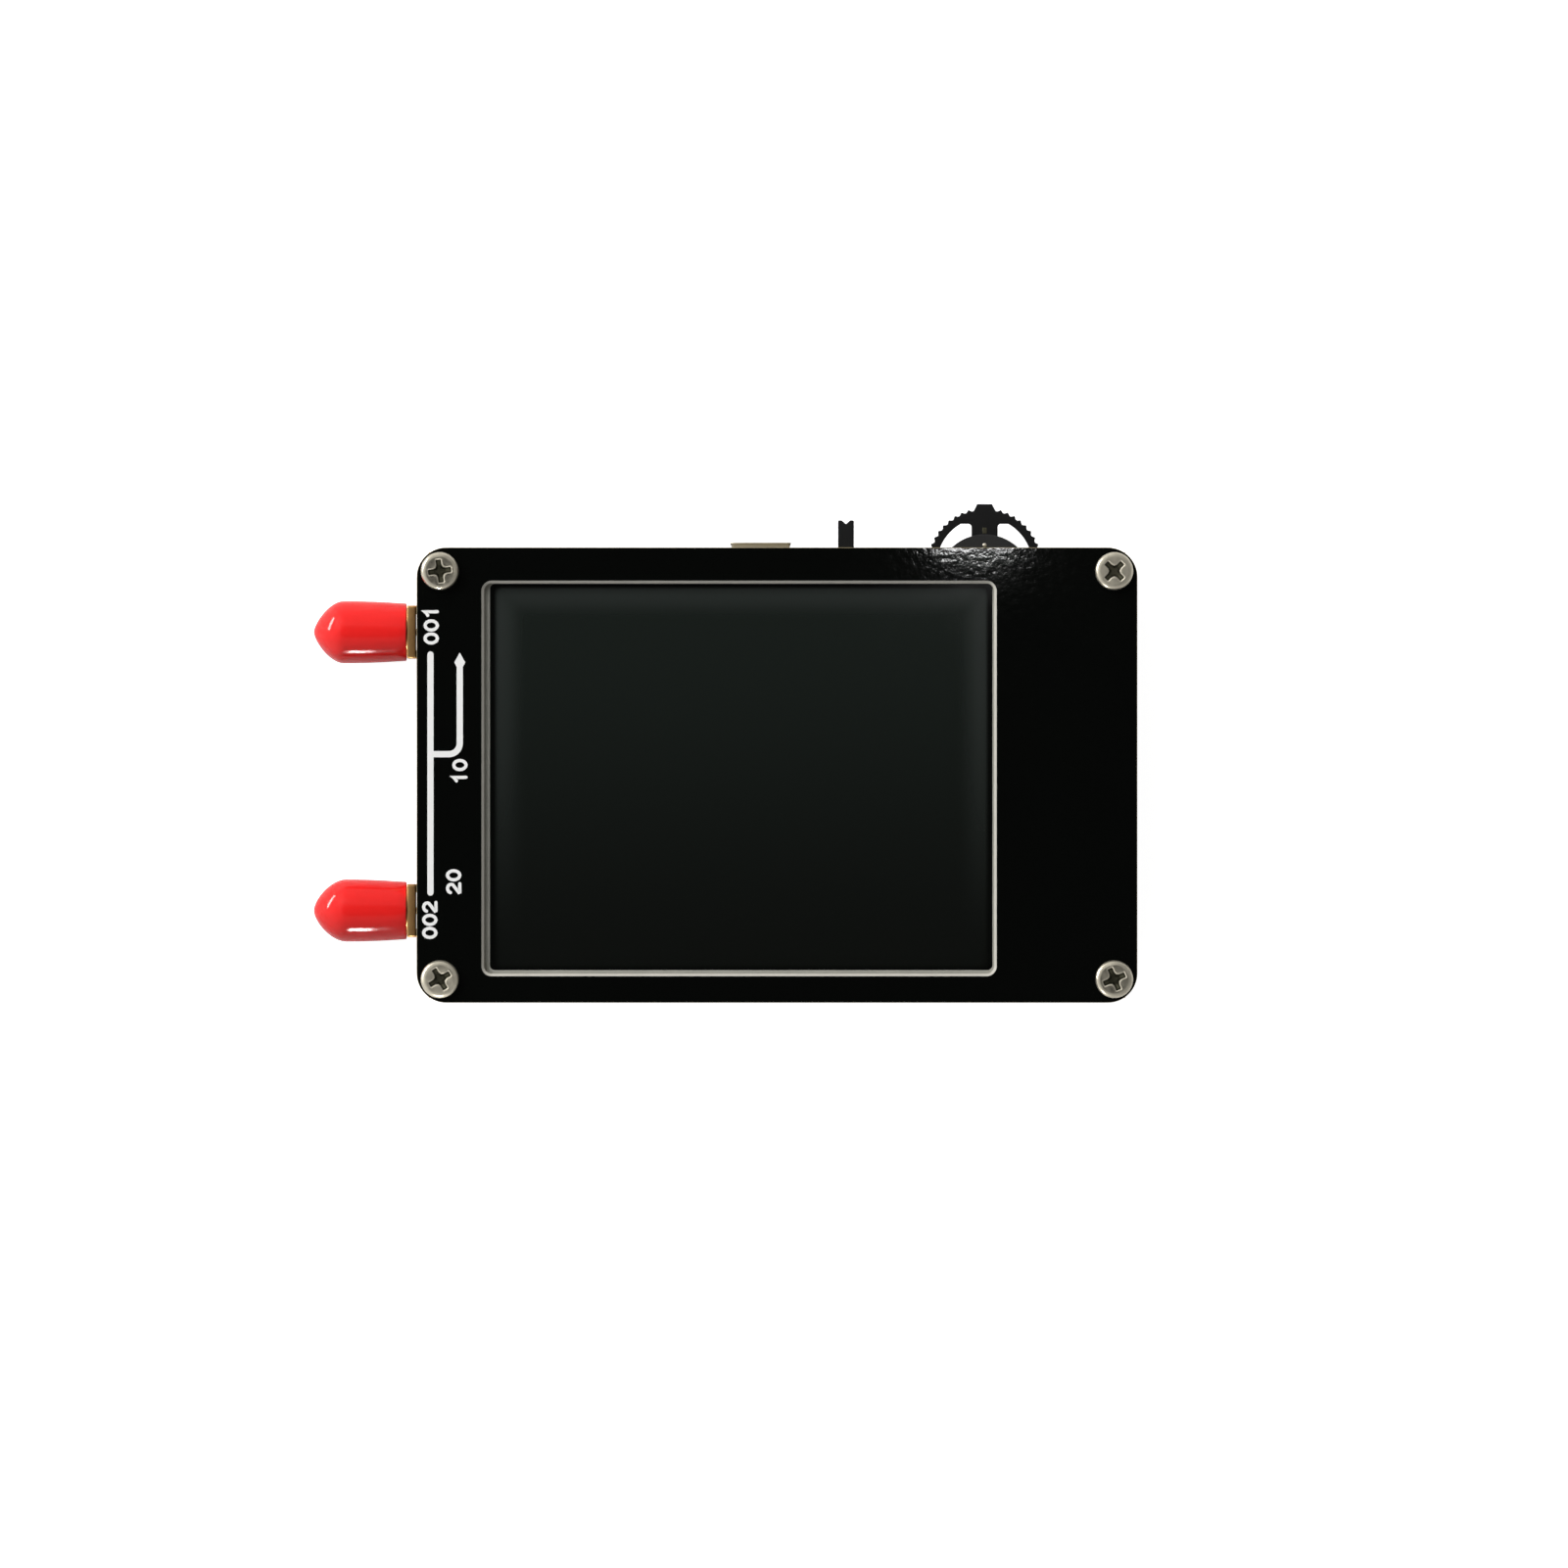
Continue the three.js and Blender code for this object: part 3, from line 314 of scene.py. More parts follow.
class Form:
    """Gathers one piece's points and faces in millimetres, each face with its finish."""

    def __init__(self, turn=None):
        self.points = []
        self.faces = []
        self.turn = turn or Matrix()

    def ring(self, outline, height):
        """Puts an outline's points at a height, and returns their numbers."""
        start = len(self.points)
        self.points += [Vector((x, y, height)) for x, y in outline]
        return list(range(start, len(self.points)))

    def wall(self, rings, finish=0, smooth=True):
        """Joins rings one after another. A ring of one point makes a fan."""
        for low, high in zip(rings, rings[1:]):
            count = max(len(low), len(high))
            for i in range(count if count > 1 else 0):
                j = (i + 1) % count
                face = [low[i % len(low)], low[j % len(low)], high[j % len(high)], high[i % len(high)]]
                self.faces.append((list(dict.fromkeys(face)), finish, smooth))

    def lid(self, rings, up, finish=0):
        """Fills the first ring, less the rings after it, with faces that look up or down."""
        numbers = [k for ring in rings for k in ring]
        flat = {k: Vector((*self.points[k].xy, 0)) for k in numbers}
        filled = tessellate_polygon([[flat[k] for k in ring] for ring in rings])
        corners = [[numbers[k] for k in corner] for corner in filled]
        area = sum((flat[b] - flat[a]).cross(flat[c] - flat[a]).z for a, b, c in corners)
        for a, b, c in corners:
            self.faces.append(([a, b, c] if (area > 0) == up else [a, c, b], finish, False))

    def shell(self, outline, levels, finish=0):
        """A wall that follows an outline through levels of inset and height."""
        rings = [self.ring(inset(outline, depth), height) for depth, height in levels]
        self.wall(rings, finish)
        return rings[0], rings[-1]

    def slab(self, outlines, bottom, top, edge=0, finish=0, side=None):
        """A plate with one outer outline, run anticlockwise, and holes, run clockwise."""
        levels = edge_levels(bottom, top, edge, edge)
        ends = [self.shell(outline, levels, finish if side is None else side) for outline in outlines]
        self.lid([low for low, _ in ends], False, finish)
        self.lid([high for _, high in ends], True, finish)
        return self

    def block(self, low, high, edge=0.05, finish=0):
        """A box between two corners, every edge rounded."""
        return self.slab([rounded(low, high, edge * corner_per_edge, 3)], low[2], high[2], edge, finish)

    def turned(self, profile, steps=48):
        """A profile of radius and height, turned about the form's own Z axis."""
        rings = []
        for radius, height in profile:
            rings.append(self.ring(circle(radius, steps) if radius else [(0, 0)], height))
        if profile[0] == profile[-1]:
            rings[-1] = rings[0]
        self.wall(rings)
        return self

    def make(self, name, *looks):
        mesh = bpy.data.meshes.new(name)
        faces, finishes, smooth = zip(*self.faces)
        mesh.from_pydata([self.turn @ point * MM for point in self.points], [], faces)
        mesh.polygons.foreach_set("material_index", finishes)
        for look in looks:
            mesh.materials.append(look)
        if len(looks) > 1:
            second = mesh.attributes.new("second", "BOOLEAN", "FACE")
            second.data.foreach_set("value", [index == 1 for index in finishes])
        mesh.set_sharp_from_angle(angle=math.radians(crease_angle))
        mesh.polygons.foreach_set("use_smooth", smooth)
        return add_object(name, mesh)

    def stand_for(self, node, ending, slot, *looks, body="analyzer"):
        """Makes the piece that takes a CAD node's place, named after it."""
        fit(self.make(f"{node}_{ending}", *looks), slot, node, body=body)


def fit(made, slot, *nodes, body="analyzer"):
    """Fixes a finished piece to a body, in the place of its CAD nodes where it has any."""
    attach(made, body)
    if nodes:
        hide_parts(*nodes)


def span(node):
    """A CAD node's lowest and highest corner in millimetres."""
    low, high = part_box(node)
    return low / MM, high / MM


def aimed(origin, across, along):
    """A frame at a point whose X axis runs across and whose Z axis runs along."""
    side = Vector(along).cross(Vector(across))
    turn = Matrix((across, side, along)).transposed().to_4x4()
    turn.translation = Vector(origin)
    return turn


def screw_places(node):
    low, high = span(node)
    across = (low.x + hole_inset[0], high.x - hole_inset[0])
    return [(x, y) for y in (high.y - hole_inset[1], low.y + hole_inset[1]) for x in across]


def board_outlines(node):
    """A board's edge and its four screw holes."""
    holes = [circle(hole_radius, 40, place)[::-1] for place in screw_places(node)]
    return [rounded(*span(node), board_corner, 16), *holes]


def board(node, ending):
    """A masked board with bare cut edges."""
    low, high = span(node)
    plate = Form().slab(board_outlines(node), low.z, high.z, board_edge, 0, 1)
    plate.stand_for(node, ending, "board_black", mask, cut_edge)
    return low, high


mask = finish("black_solder_mask", mask_black, 0.06, grain=0.75, tone=0.1, relief=0.011, spread=0.02)
cut_edge = finish("cut_laminate_edge", laminate, 0.7, grain=0.5, tone=0.2, relief=0.01,
                  stretch=(1, 1, 7))
board("rear_panel", "board")


# Main board
# The middle board carries the circuit on its rear face and the display on its front. It
# is black masked laminate, its edge stitched with a row of plated holes.
via_pitch = 1.9
via_radius = 0.28
via_height = 0.03
via_inset = 0.75
plating = finish("tinned_copper", (196, 190, 176), 0.34, 1, grain=0.15, tone=0.08)


def pattern_tree(name, follows):
    """A tree that copies a piece onto points, by their own turns, or along an outline it follows."""
    tree = bpy.data.node_groups.new(name, "GeometryNodeTree")
    tree.interface.new_socket("Geometry", in_out="OUTPUT", socket_type="NodeSocketGeometry")
    kinds = {"Geometry": "Geometry", "Pitch": "Float", "Piece": "Object", "Finish": "Material",
             "Second Finish": "Material"}
    for label, kind in kinds.items():
        tree.interface.new_socket(label, in_out="INPUT", socket_type=f"NodeSocket{kind}")
    given = add_node(tree, "NodeGroupInput").outputs

    def step(kind, inputs, **settings):
        """The outputs of one more node."""
        return add_node(tree, f"GeometryNode{kind}", inputs, **settings).outputs

    if follows:
        run = {"Curve": step("MeshToCurve", {"Mesh": given["Geometry"]})[0], "Length": given["Pitch"]}
        spots = {"Points": step("ResampleCurve", run, mode="LENGTH")[0]}
    else:
        turn = step("InputNamedAttribute", {"Name": "turn"}, data_type="FLOAT")["Attribute"]
        euler = add_node(tree, "ShaderNodeCombineXYZ", {"Z": turn}).outputs[0]
        spots = {"Points": given["Geometry"], "Rotation": euler}
    spots["Instance"] = step("ObjectInfo", {"Object": given["Piece"], "As Instance": True})["Geometry"]
    real = step("RealizeInstances", {"Geometry": step("InstanceOnPoints", spots)[0]})[0]
    painted = step("SetMaterial", {"Geometry": real, "Material": given["Finish"]})[0]
    marked = step("InputNamedAttribute", {"Name": "second"}, data_type="BOOLEAN")["Attribute"]
    second = {"Geometry": painted, "Selection": marked, "Material": given["Second Finish"]}
    wire(tree, add_node(tree, "NodeGroupOutput"), {"Geometry": step("SetMaterial", second)[0]})
    return tree


def carrier(places, turns=None, edges=()):
    """Points in millimetres, each with a turn about Z in degrees, for a tree to copy a piece onto."""
    mesh = bpy.data.meshes.new("carrier")
    mesh.from_pydata([Vector(place) * MM for place in places], edges, [])
    if turns:
        turn = mesh.attributes.new("turn", "FLOAT", "POINT")
        turn.data.foreach_set("value", [math.radians(t) for t in turns])
    return add_object("carrier", mesh)


def grow(name, carried, tree, piece, look, second=None, pitch=0.0):
    """Runs a tree on a carrier and keeps its copies of a piece as one plain mesh."""
    values = {"Pitch": pitch, "Piece": piece, "Finish": look, "Second Finish": second or look}
    modifier = carried.modifiers.new("pattern", "NODES")
    modifier.node_group = tree
    for item in tree.interface.items_tree:
        if item.in_out == "INPUT" and item.name in values:
            modifier[item.identifier] = values[item.name]
    depsgraph = bpy.context.evaluated_depsgraph_get()
    mesh = bpy.data.meshes.new_from_object(carried.evaluated_get(depsgraph))
    carried.modifiers.remove(modifier)
    for used in (carried, piece):
        bpy.data.objects.remove(used)
    mesh.name = name
    return add_object(name, mesh)


on_points = pattern_tree("copies_on_points", False)
along_outline = pattern_tree("row_along_outline", True)
low, high = board("main_board", "laminate")
row = inset(rounded(low, high, board_corner, 16), via_inset)
row_edges = [(i, (i + 1) % len(row)) for i in range(len(row))]
via_section = [(via_radius / 2, 0), (via_radius, 0), (via_radius, via_height),
               (via_radius / 2, via_height)]
for face, height in (("front", high.z), ("rear", low.z - via_height)):
    via = Form().turned([*via_section, via_section[0]], 12).make("via_pattern", plating)
    row_carrier = carrier([(x, y, height) for x, y in row], edges=row_edges)
    stitching = grow(f"{face}_stitching_vias", row_carrier, along_outline, via, plating,
                     pitch=via_pitch * MM)
    fit(stitching, "shield_tin")


# Shield cans
# Two lids of tinned sheet clipped over low fences, which keep the radio stages apart.
# Each has rounded corners, a grid of vent holes and dimples where it snaps to its fence.
can_corner = 0.9
can_edge = 0.28
can_hole_radius = 0.45
can_hole_grid = (5, 4)
can_hole_pitch = 3.1
can_dimple = ((0, -0.1), (0.36, -0.1), (0.36, 0), (0.3, 0.06), (0.16, 0.11), (0, 0.12))
can_dimple_pitch = 3.2
can_sheet = 0.2
can_tin = finish("tinned_sheet", (186, 187, 186), 0.3, 1, grain=0.9, tone=0.07, relief=0.004,
                 spread=0.08)

for node in ("shield_can_1", "shield_can_2"):
    low, high = span(node)
    middle = (low + high) / 2
    can = Form()
    outer = rounded(low, high, can_corner)
    columns, rows = [[(i - (count - 1) / 2) * can_hole_pitch + middle[axis] for i in range(count)]
                     for axis, count in enumerate(can_hole_grid)]
    holes = [circle(can_hole_radius, 14, (x, y), 7 * x + 3 * y)[::-1] for x in columns for y in rows]
    face, rim = can.shell(outer, edge_levels(low.z, high.z, can_edge, 0))
    roof, foot = can.shell(inset(outer, can_sheet)[::-1], [(0, low.z + can_sheet), (0, high.z)])
    hole_ends = [can.shell(hole, [(0, low.z), (0, low.z + can_sheet)]) for hole in holes]
    can.lid([face, *[end[0] for end in hole_ends]], False)
    can.lid([rim, foot], True)
    can.lid([roof, *[end[1] for end in hole_ends]], True)
    can.stand_for(node, "lid", "shield_tin", can_tin)
    count = int((high.x - low.x) / can_dimple_pitch)
    for i in range(1, count):
        x = low.x + i * (high.x - low.x) / count
        for mark, y, toward in (("a", low.y, -1), ("b", high.y, 1)):
            dimple = Form(aimed((x, y, middle.z), (1, 0, 0), (0, toward, 0))).turned(can_dimple, 16)
            fit(dimple.make(f"{node}_dimple_{i}{mark}", can_tin), "shield_tin")


# Chips
# Moulded epoxy packages on the rear face, with tinned legs along their sides and a small
# laser dot at the first leg. The mixers sit inside the shield cans.
leg_width = 0.22
leg_thickness = 0.12
leg_reach = 0.75
leg_root = -0.1
leg_bends = (0.35, 0.45, 0.55)
chip_edge = 0.1
chip_corner = 2.4 * chip_edge
dot_radius = 0.28
dot_depth = 0.03
dot_inset = 2.6 * dot_radius
epoxy = finish("moulded_epoxy", (38, 39, 42), 0.55, grain=0.12, tone=0.1, relief=0.006)
laser_grey = finish("laser_mark", (120, 121, 118), 0.8, grain=0.1, tone=0.1)


def chip_body(node):
    """A package whose faces draw in slightly from its parting line, with its first-leg dot."""
    low, high = span(node)
    package = Form()
    bottom, top = package.shell(rounded(low, high, chip_corner, 3), [
        (chip_edge * 2, low.z), (chip_edge, low.z + chip_edge), (0, (low.z + high.z) / 2),
        (chip_edge, high.z - chip_edge), (chip_edge * 2, high.z),
    ])
    dot = circle(dot_radius, 20, (low.x + dot_inset, high.y - dot_inset))[::-1]
    rim, pit = package.shell(dot, [(0, low.z), (0, low.z + dot_depth)])
    package.lid([bottom, rim], False)
    package.lid([pit[::-1]], False, 1)
    package.lid([top], True)
    package.stand_for(node, "package", "chip_black", epoxy, laser_grey)
    return low, high


def leg_places(low, high, pitch, margin, sides):
    """Places and turns of the legs on some sides of a package, at its board face."""
    places, turns = [], []
    middle = (low + high) / 2
    half = (high - low) / 2
    for turn in sides:
        reach, run = (half.x, half.y) if turn % 180 == 0 else (half.y, half.x)
        count = int(2 * (run - margin) / pitch) + 1
        for i in range(count):
            offset = (i - (count - 1) / 2) * pitch
            spot = Matrix.Rotation(math.radians(turn), 3, "Z") @ Vector((reach, offset, 0))
            places.append((middle.x + spot.x, middle.y + spot.y, high.z))
            turns.append(turn)
    return places, turns


def gull_leg(height):
    """One leg: out of the package, down and flat on its pad, seen with the board above."""
    drop = height / 2
    near, middle, far = [leg_reach * share for share in leg_bends]
    profile = [
        (leg_root, -drop - leg_thickness), (middle, -drop - leg_thickness), (far, -leg_thickness),
        (leg_reach, -leg_thickness), (leg_reach, 0), (middle, 0), (near, -drop), (leg_root, -drop),
    ]
    leg = Form(Matrix.Rotation(math.radians(90), 4, "X"))
    return leg.slab([profile], -leg_width / 2, leg_width / 2).make("leg_pattern", plating)


all_sides = (0, 90, 180, 270)
long_sides = (90, 270)
chip_legs = {
    "processor": (0.5, 0.7, all_sides), "codec_chip": (0.5, 0.6, all_sides),
    "clock_chip": (0.5, 0.5, long_sides), "charger_chip": (0.95, 0.5, long_sides),
    "regulator": (0.95, 0.5, long_sides),
    **{f"mixer_chip_{i}": (1.27, 0.5, long_sides) for i in (1, 2, 3)},
}
for node, legs in chip_legs.items():
    low, high = chip_body(node)
    places, turns = leg_places(low, high, *legs)
    rows = grow(f"{node}_legs", carrier(places, turns), on_points, gull_leg(high.z - low.z), plating)
    fit(rows, "shield_tin")


# Crystal
# A quartz crystal in a seam-welded metal lid on a ceramic base, soldered by its corners.
crystal_base = 0.45
crystal_step = Vector((0.22, 0.22, 0))
ceramic = finish("ceramic_base", (92, 84, 74), 0.7, grain=0.2, tone=0.08, relief=0.003)
low, high = span("crystal")
can = Form().block((low.x, low.y, high.z - crystal_base), high, edge=0.08, finish=1)
can.block(low + crystal_step, high - crystal_step - Vector((0, 0, crystal_base)), edge=0.12)
can.stand_for("crystal", "case", "shield_tin", can_tin, ceramic)


# Small parts on the rear face
# Rows of chip resistors and capacitors between the larger parts, each a ceramic body
# with tinned ends, placed by machine and soldered in an oven.
part_grid = 1.75
part_half = (0.5, 0.25)
part_height = 0.4
part_gap = 0.02
part_end = 0.22
part_share = 0.62
resistor_share = 0.45
part_seed = 11
part_margin = 1.9
part_room = 0.75 + part_half[0]
resistor_look = finish("chip_resistor", (30, 31, 34), 0.4, grain=0.1, tone=0.08, relief=0.001)
capacitor_look = finish("chip_capacitor", (142, 116, 88), 0.55, grain=0.1, tone=0.08)
larger_parts = [
    "shield_can_1", "shield_can_2", "battery_cell", "battery_socket", "battery_plug", "crystal",
    "usb_shell", "switch_base", "jog_base", "jog_wheel", "port_1_jack", "port_2_jack",
    "battery_lead_red", "battery_lead_black", *chip_legs, *(f"rear_post_{i}" for i in (1, 2, 3, 4)),
]
taken = [span(node) for node in larger_parts]


def free(x, y):
    """Whether no larger part covers a place on the rear face."""
    for low, high in taken:
        beside = x < low.x - part_room or x > high.x + part_room
        if not beside and low.y - part_room <= y <= high.y + part_room:
            return False
    return True


low, high = span("main_board")
columns, rows = [[start + part_margin + i * part_grid
                  for i in range(int((end - start - 2 * part_margin) / part_grid) + 1)]
                 for start, end in zip(low.xy, high.xy)]
dice = random.Random(part_seed)
spots = [(x, y, low.z) for x in columns for y in rows if free(x, y) and dice.random() < part_share]
kinds = {"resistors": ([], [], resistor_look), "capacitors": ([], [], capacitor_look)}
for spot in spots:
    places, turns, _ = kinds["resistors" if dice.random() < resistor_share else "capacitors"]
    places.append(spot)
    turns.append(dice.choice((0, 90)))
reach, half = part_half
for kind, (places, turns, look) in kinds.items():
    body_form = Form()
    body_form.block((part_end - reach, -half, -part_height), (reach - part_end, half, -part_gap),
                    edge=0.03)
    ends_form = Form()
    for inner, outer in ((-reach, part_end - reach), (reach - part_end, reach)):
        ends_form.block((inner, -half, -part_height), (outer, half, 0), edge=0.04)
    for name, form, paint, slot in ((f"chip_{kind}", body_form, look, "chip_black"),
                                    (f"chip_{kind}_ends", ends_form, plating, "shield_tin")):
        part = form.make("part_pattern", paint)
        fit(grow(name, carrier(places, turns), on_points, part, paint), slot)


# Posts
# Hexagonal brass pillars, their corners turned down at both ends. Each front post's stud
# passes through the main board into the rear post below it.
post_flats = 4.5
post_bevel = 0.35
post_bevel_height = 0.6 * post_bevel
post_bore = 1.25
post_floor = 0.8
post_steps = 48
stud_radius = 1.2
stud_thread = (0.16, 0.45)
brass = finish("turned_brass", (201, 164, 98), 0.3, 1, grain=0.5, tone=0.08, relief=0.003,
               stretch=(1, 1, 9))


def thread_sleeve(form, radius, depth, pitch, start, length, steps=24, rows_per_turn=6):
    """A screw thread as a sleeve of rings, its crest climbing one pitch each turn."""
    count = round(length / pitch * rows_per_turn)
    rings = []
    for j in range(count + 1):
        height = start + length * j / count
        fade = min(1, j / rows_per_turn, (count - j) / rows_per_turn)
        outline = []
        for i in range(steps):
            phase = ((height - start) / pitch - i / steps) % 1
            crest = 1 - abs(2 * phase - 1)
            angle = 2 * math.pi * i / steps
            reach = radius - depth * (1 - crest * fade)
            outline.append((reach * math.cos(angle), reach * math.sin(angle)))
        rings.append(form.ring(outline, height))
    form.wall(rings)
    return rings[0], rings[-1]


def hexagon_post(low_z, high_z, stud_end):
    """A pillar along Z about the origin. It stands at its own heights above the floor."""
    post = Form()
    rows = []
    for depth, height in ((post_bevel, low_z), (0, low_z + post_bevel_height),
                          (0, high_z - post_bevel_height), (post_bevel, high_z)):
        outline = []
        for i in range(post_steps):
            angle = 2 * math.pi * i / post_steps
            across = post_flats / 2 / math.cos(angle % (math.pi / 3) - math.pi / 6)
            reach = min(across, post_flats / math.sqrt(3) - depth)
            outline.append((reach * math.cos(angle), reach * math.sin(angle)))
        rows.append(post.ring(outline, height))
    post.wall(rows)
    bore_end = low_z if stud_end is None else low_z + post_floor
    foot, mouth = post.shell(circle(post_bore, 32)[::-1], [(0, bore_end), (0, high_z)])
    if stud_end is None:
        post.lid([rows[0], foot], False)
    else:
        post.lid([foot], True)
        stud_low, stud_high = thread_sleeve(post, stud_radius, *stud_thread, stud_end, low_z - stud_end)
        post.lid([rows[0], stud_high], False)
        post.lid([stud_low], False)
    post.lid([rows[-1], mouth], True)
    return post


post_places = [(x, y, 0) for x, y in screw_places("main_board")]
for side in ("rear", "front"):
    low, high = span(f"{side}_post_1")
    ends = (low.z, high.z, None) if side == "rear" else (span("main_board")[1].z, high.z, low.z)
    post = hexagon_post(*ends).make("post_pattern", brass)
    nodes = [f"{side}_post_{i}" for i in (1, 2, 3, 4)]
    fit(grow(f"{side}_posts", carrier(post_places), on_points, post, brass), "post_brass", *nodes)


# Display
# A thin tray holds the display glass, with the touch panel bonded on top of it. The lit
# area is a shade lighter than the black ink border around it. A painted sheen makes it lighter
# towards the top, with a painted glow along its rim there.
lit_low = (-27.13, -25.3)
lit_high = (31.0, 19.55)
lit_corner = 1.2
lit_blur = (-0.35, 0.25)
display_corner = 0.6
tray_edge = 0.12
glass_edge = 0.06
tape_edge = 0.04
# The lit area's colours: its top and its rim are lighter by painted sheen and painted glow.
screen_top_painted_sheen = (27, 32, 29)
screen_bottom = (15, 17, 15)
painted_rim_glow = (46, 50, 48)
painted_rim_glow_width = 4
border_ink = (7, 8, 7)
tray_look = finish("display_tray", (216, 214, 205), 0.45, grain=0.4, tone=0.04, relief=0.003)
glass_look = finish("display_glass", (20, 24, 25), 0.12, grain=2, tone=0.05, relief=0)
foam = finish("foam_tape", (42, 42, 42), 0.95, grain=0.25, tone=0.3, relief=0.05)


def own_axes(tree):
    """The X, Y and Z of a finish's own coordinates."""
    place = tree.nodes["Texture Coordinate"].outputs["Object"]
    return add_node(tree, "ShaderNodeSeparateXYZ", {"Vector": place}).outputs


def screen_finish_with_painted_sheen():
    """Touch glass over the display: a black border, and a lit area with a painted sheen, lighter at the
    top and along its upper rim.
    """
    look = finish("touch_glass", border_ink, 0.09, grain=3, tone=0.05, spread=0.02, relief=0)
    tree = look.node_tree
    axes = own_axes(tree)
    depths = []
    for name, low, high in zip("XY", lit_low, lit_high):
        away = reckon(tree, "ABSOLUTE", reckon(tree, "SUBTRACT", axes[name], (low + high) / 2 * MM))
        depths.append(reckon(tree, "SUBTRACT", (high - low) / 2 * MM, away))
    near = reckon(tree, "SMOOTH_MIN", *depths, lit_corner * MM)
    inside = ranged(tree, near, lit_blur[0] * MM, lit_blur[1] * MM, 0, 1, "SMOOTHSTEP")
    # Painted sheen: lighter towards the top, and a painted glow along the rim, strongest at the top.
    rise = ranged(tree, axes["Y"], lit_low[1] * MM, lit_high[1] * MM, 0, 1, "SMOOTHSTEP")
    lit = mixed(tree, rise, tint(screen_bottom), tint(screen_top_painted_sheen))
    fade = ranged(tree, near, 0, painted_rim_glow_width * MM, 1, 0, "SMOOTHERSTEP")
    rim = mixed(tree, reckon(tree, "MULTIPLY", fade, rise), lit, tint(painted_rim_glow))
    whole = mixed(tree, inside, tree.nodes["Tone"].outputs["Result"], rim)
    wire(tree, tree.nodes["Principled BSDF"], {"Base Color": whole})
    return look


for node, ending, edge, look, slot in (
        ("display_tape_1", "plate", tape_edge, foam, "foam_tape"),
        ("display_tape_2", "plate", tape_edge, foam, "foam_tape"),
        ("display_tray", "plate", tray_edge, tray_look, "display_frame"),
        ("display_glass", "plate", glass_edge, glass_look, "display_glass"),
        ("touch_panel", "glass", glass_edge, screen_finish_with_painted_sheen(), "touch_glass")):
    low, high = span(node)
    plate = Form().slab([rounded(low, high, display_corner, 6)], low.z, high.z, edge)
    plate.stand_for(node, ending, slot, look)


# Gasket
# A grey foam ring between the touch panel and the front panel. A strip of it shows inside
# the window along its left and lower edges.
window_low = (-28.58, -26.175)
window_high = (31.92, 20.125)
gasket_low = (-27.90, -25.775)
gasket_high = (31.75, 20.075)
gasket_edge = 0.03
gasket_look = finish("gasket_foam", (166, 166, 157), 0.85, grain=0.3, relief=0.02)
low, high = span("display_gasket")
gasket_lines = [rounded(low, high, display_corner, 6),
                rounded(gasket_low, gasket_high, display_corner)[::-1]]
gasket = Form().slab(gasket_lines, low.z, high.z, gasket_edge)
gasket.stand_for("display_gasket", "ring", "gasket_grey", gasket_look)


# Front panel
# The top board: black masked laminate with a window milled through it. The window's edge
# is bevelled, so the pale laminate shows as a thin bright line around the display.
window_corner = 0.9
window_bevel = 0.31
bevel_look = finish("bevelled_laminate", (204, 201, 191), 0.5, grain=0.5, tone=0.08, relief=0.004,
                    specular=0.15)
low, high = span("front_panel")
window = rounded(window_low, window_high, window_corner, 14)[::-1]
bevel_foot = high.z - window_bevel
panel = Form()
levels = edge_levels(low.z, high.z, board_edge, board_edge)
ends = [panel.shell(outline, levels, 1) for outline in board_outlines("front_panel")]
wall_low = panel.shell(window, [(0, low.z), (0, bevel_foot)], 1)[0]
bevel_end = panel.shell(window, [(0, bevel_foot), (window_bevel, high.z)], 2)[1]
panel.lid([*[end[0] for end in ends], wall_low], False)
panel.lid([*[end[1] for end in ends], bevel_end], True)
panel.stand_for("front_panel", "board", "board_black", mask, cut_edge, bevel_look)


# Print
# White ink printed on the front panel: a line between the two ports, an arrow that
# branches off it, and plain numbers. The ink stands a hair above the mask.
ink_height = 0.03
ink_line = 0.74
ink_look = finish("white_ink", (250, 250, 248), 0.6, grain=0.15, tone=0.03, relief=0.004)
print_z = high.z
line_x = -34.94
line_ends = (12.05, -16.93)
arrow_x = -31.46
arrow_tip = 11.9
arrow_head = (1.3, 1.15)
arrow_neck = 0.55
arrow_bend_y = -0.14
arrow_bend_radius = 1.3
digit_size = (1.08, 1.46)
digit_stroke = 0.38
digit_gap = 0.46
labels = (("001", -34.85, 15.13), ("002", -35.02, -19.8), ("10", -31.45, -2.2), ("20", -32.19, -15.28))
zero_turns = [i * math.pi / 8 for i in range(16)]
two_turns = (0.2, 0.7, 1.2, 1.7, 2.2, 2.7, 3.2, 3.6)
digit_paths = {
    "0": [(0.5 - 0.5 * math.sin(t), 0.5 + 0.5 * math.cos(t)) for t in zero_turns],
    "1": [(0.18, 0.78), (0.42, 0.88), (0.56, 1.0), (0.58, 0)],
    "2": [*[(0.48 - 0.46 * math.cos(t), 0.7 + 0.3 * math.sin(t)) for t in two_turns],
          (0.04, 0.08), (0.08, 0.0), (1, 0)],
}


def stroke(path, width, round_ends=True, closed=False):
    """The outlines of a line of ink that follows a path. A closed path runs anticlockwise."""
    half = width / 2
    if closed:
        return [inset(path, -half), inset(path, half)[::-1]]
    spots = [Vector(point) for point in path]
    runs = [(after - here).normalized() for here, after in zip(spots, spots[1:])]
    sides = [run.orthogonal() for run in runs]
    joints = [(a + b) / (1 + a.dot(b)) for a, b in zip([sides[0], *sides], [*sides, sides[-1]])]
    right = [tuple(spot - joint * half) for spot, joint in zip(spots, joints)]
    left = [tuple(spot + joint * half) for spot, joint in zip(spots, joints)][::-1]
    if not round_ends:
        return [right + left]
    first, last = (math.degrees(math.atan2(run.y, run.x)) for run in (runs[0], runs[-1]))
    end_cap = arc(path[-1], half, last - 90, last + 90, 8)[1:-1]
    start_cap = arc(path[0], half, first + 90, first + 270, 8)[1:-1]
    return [right + end_cap + left + start_cap]


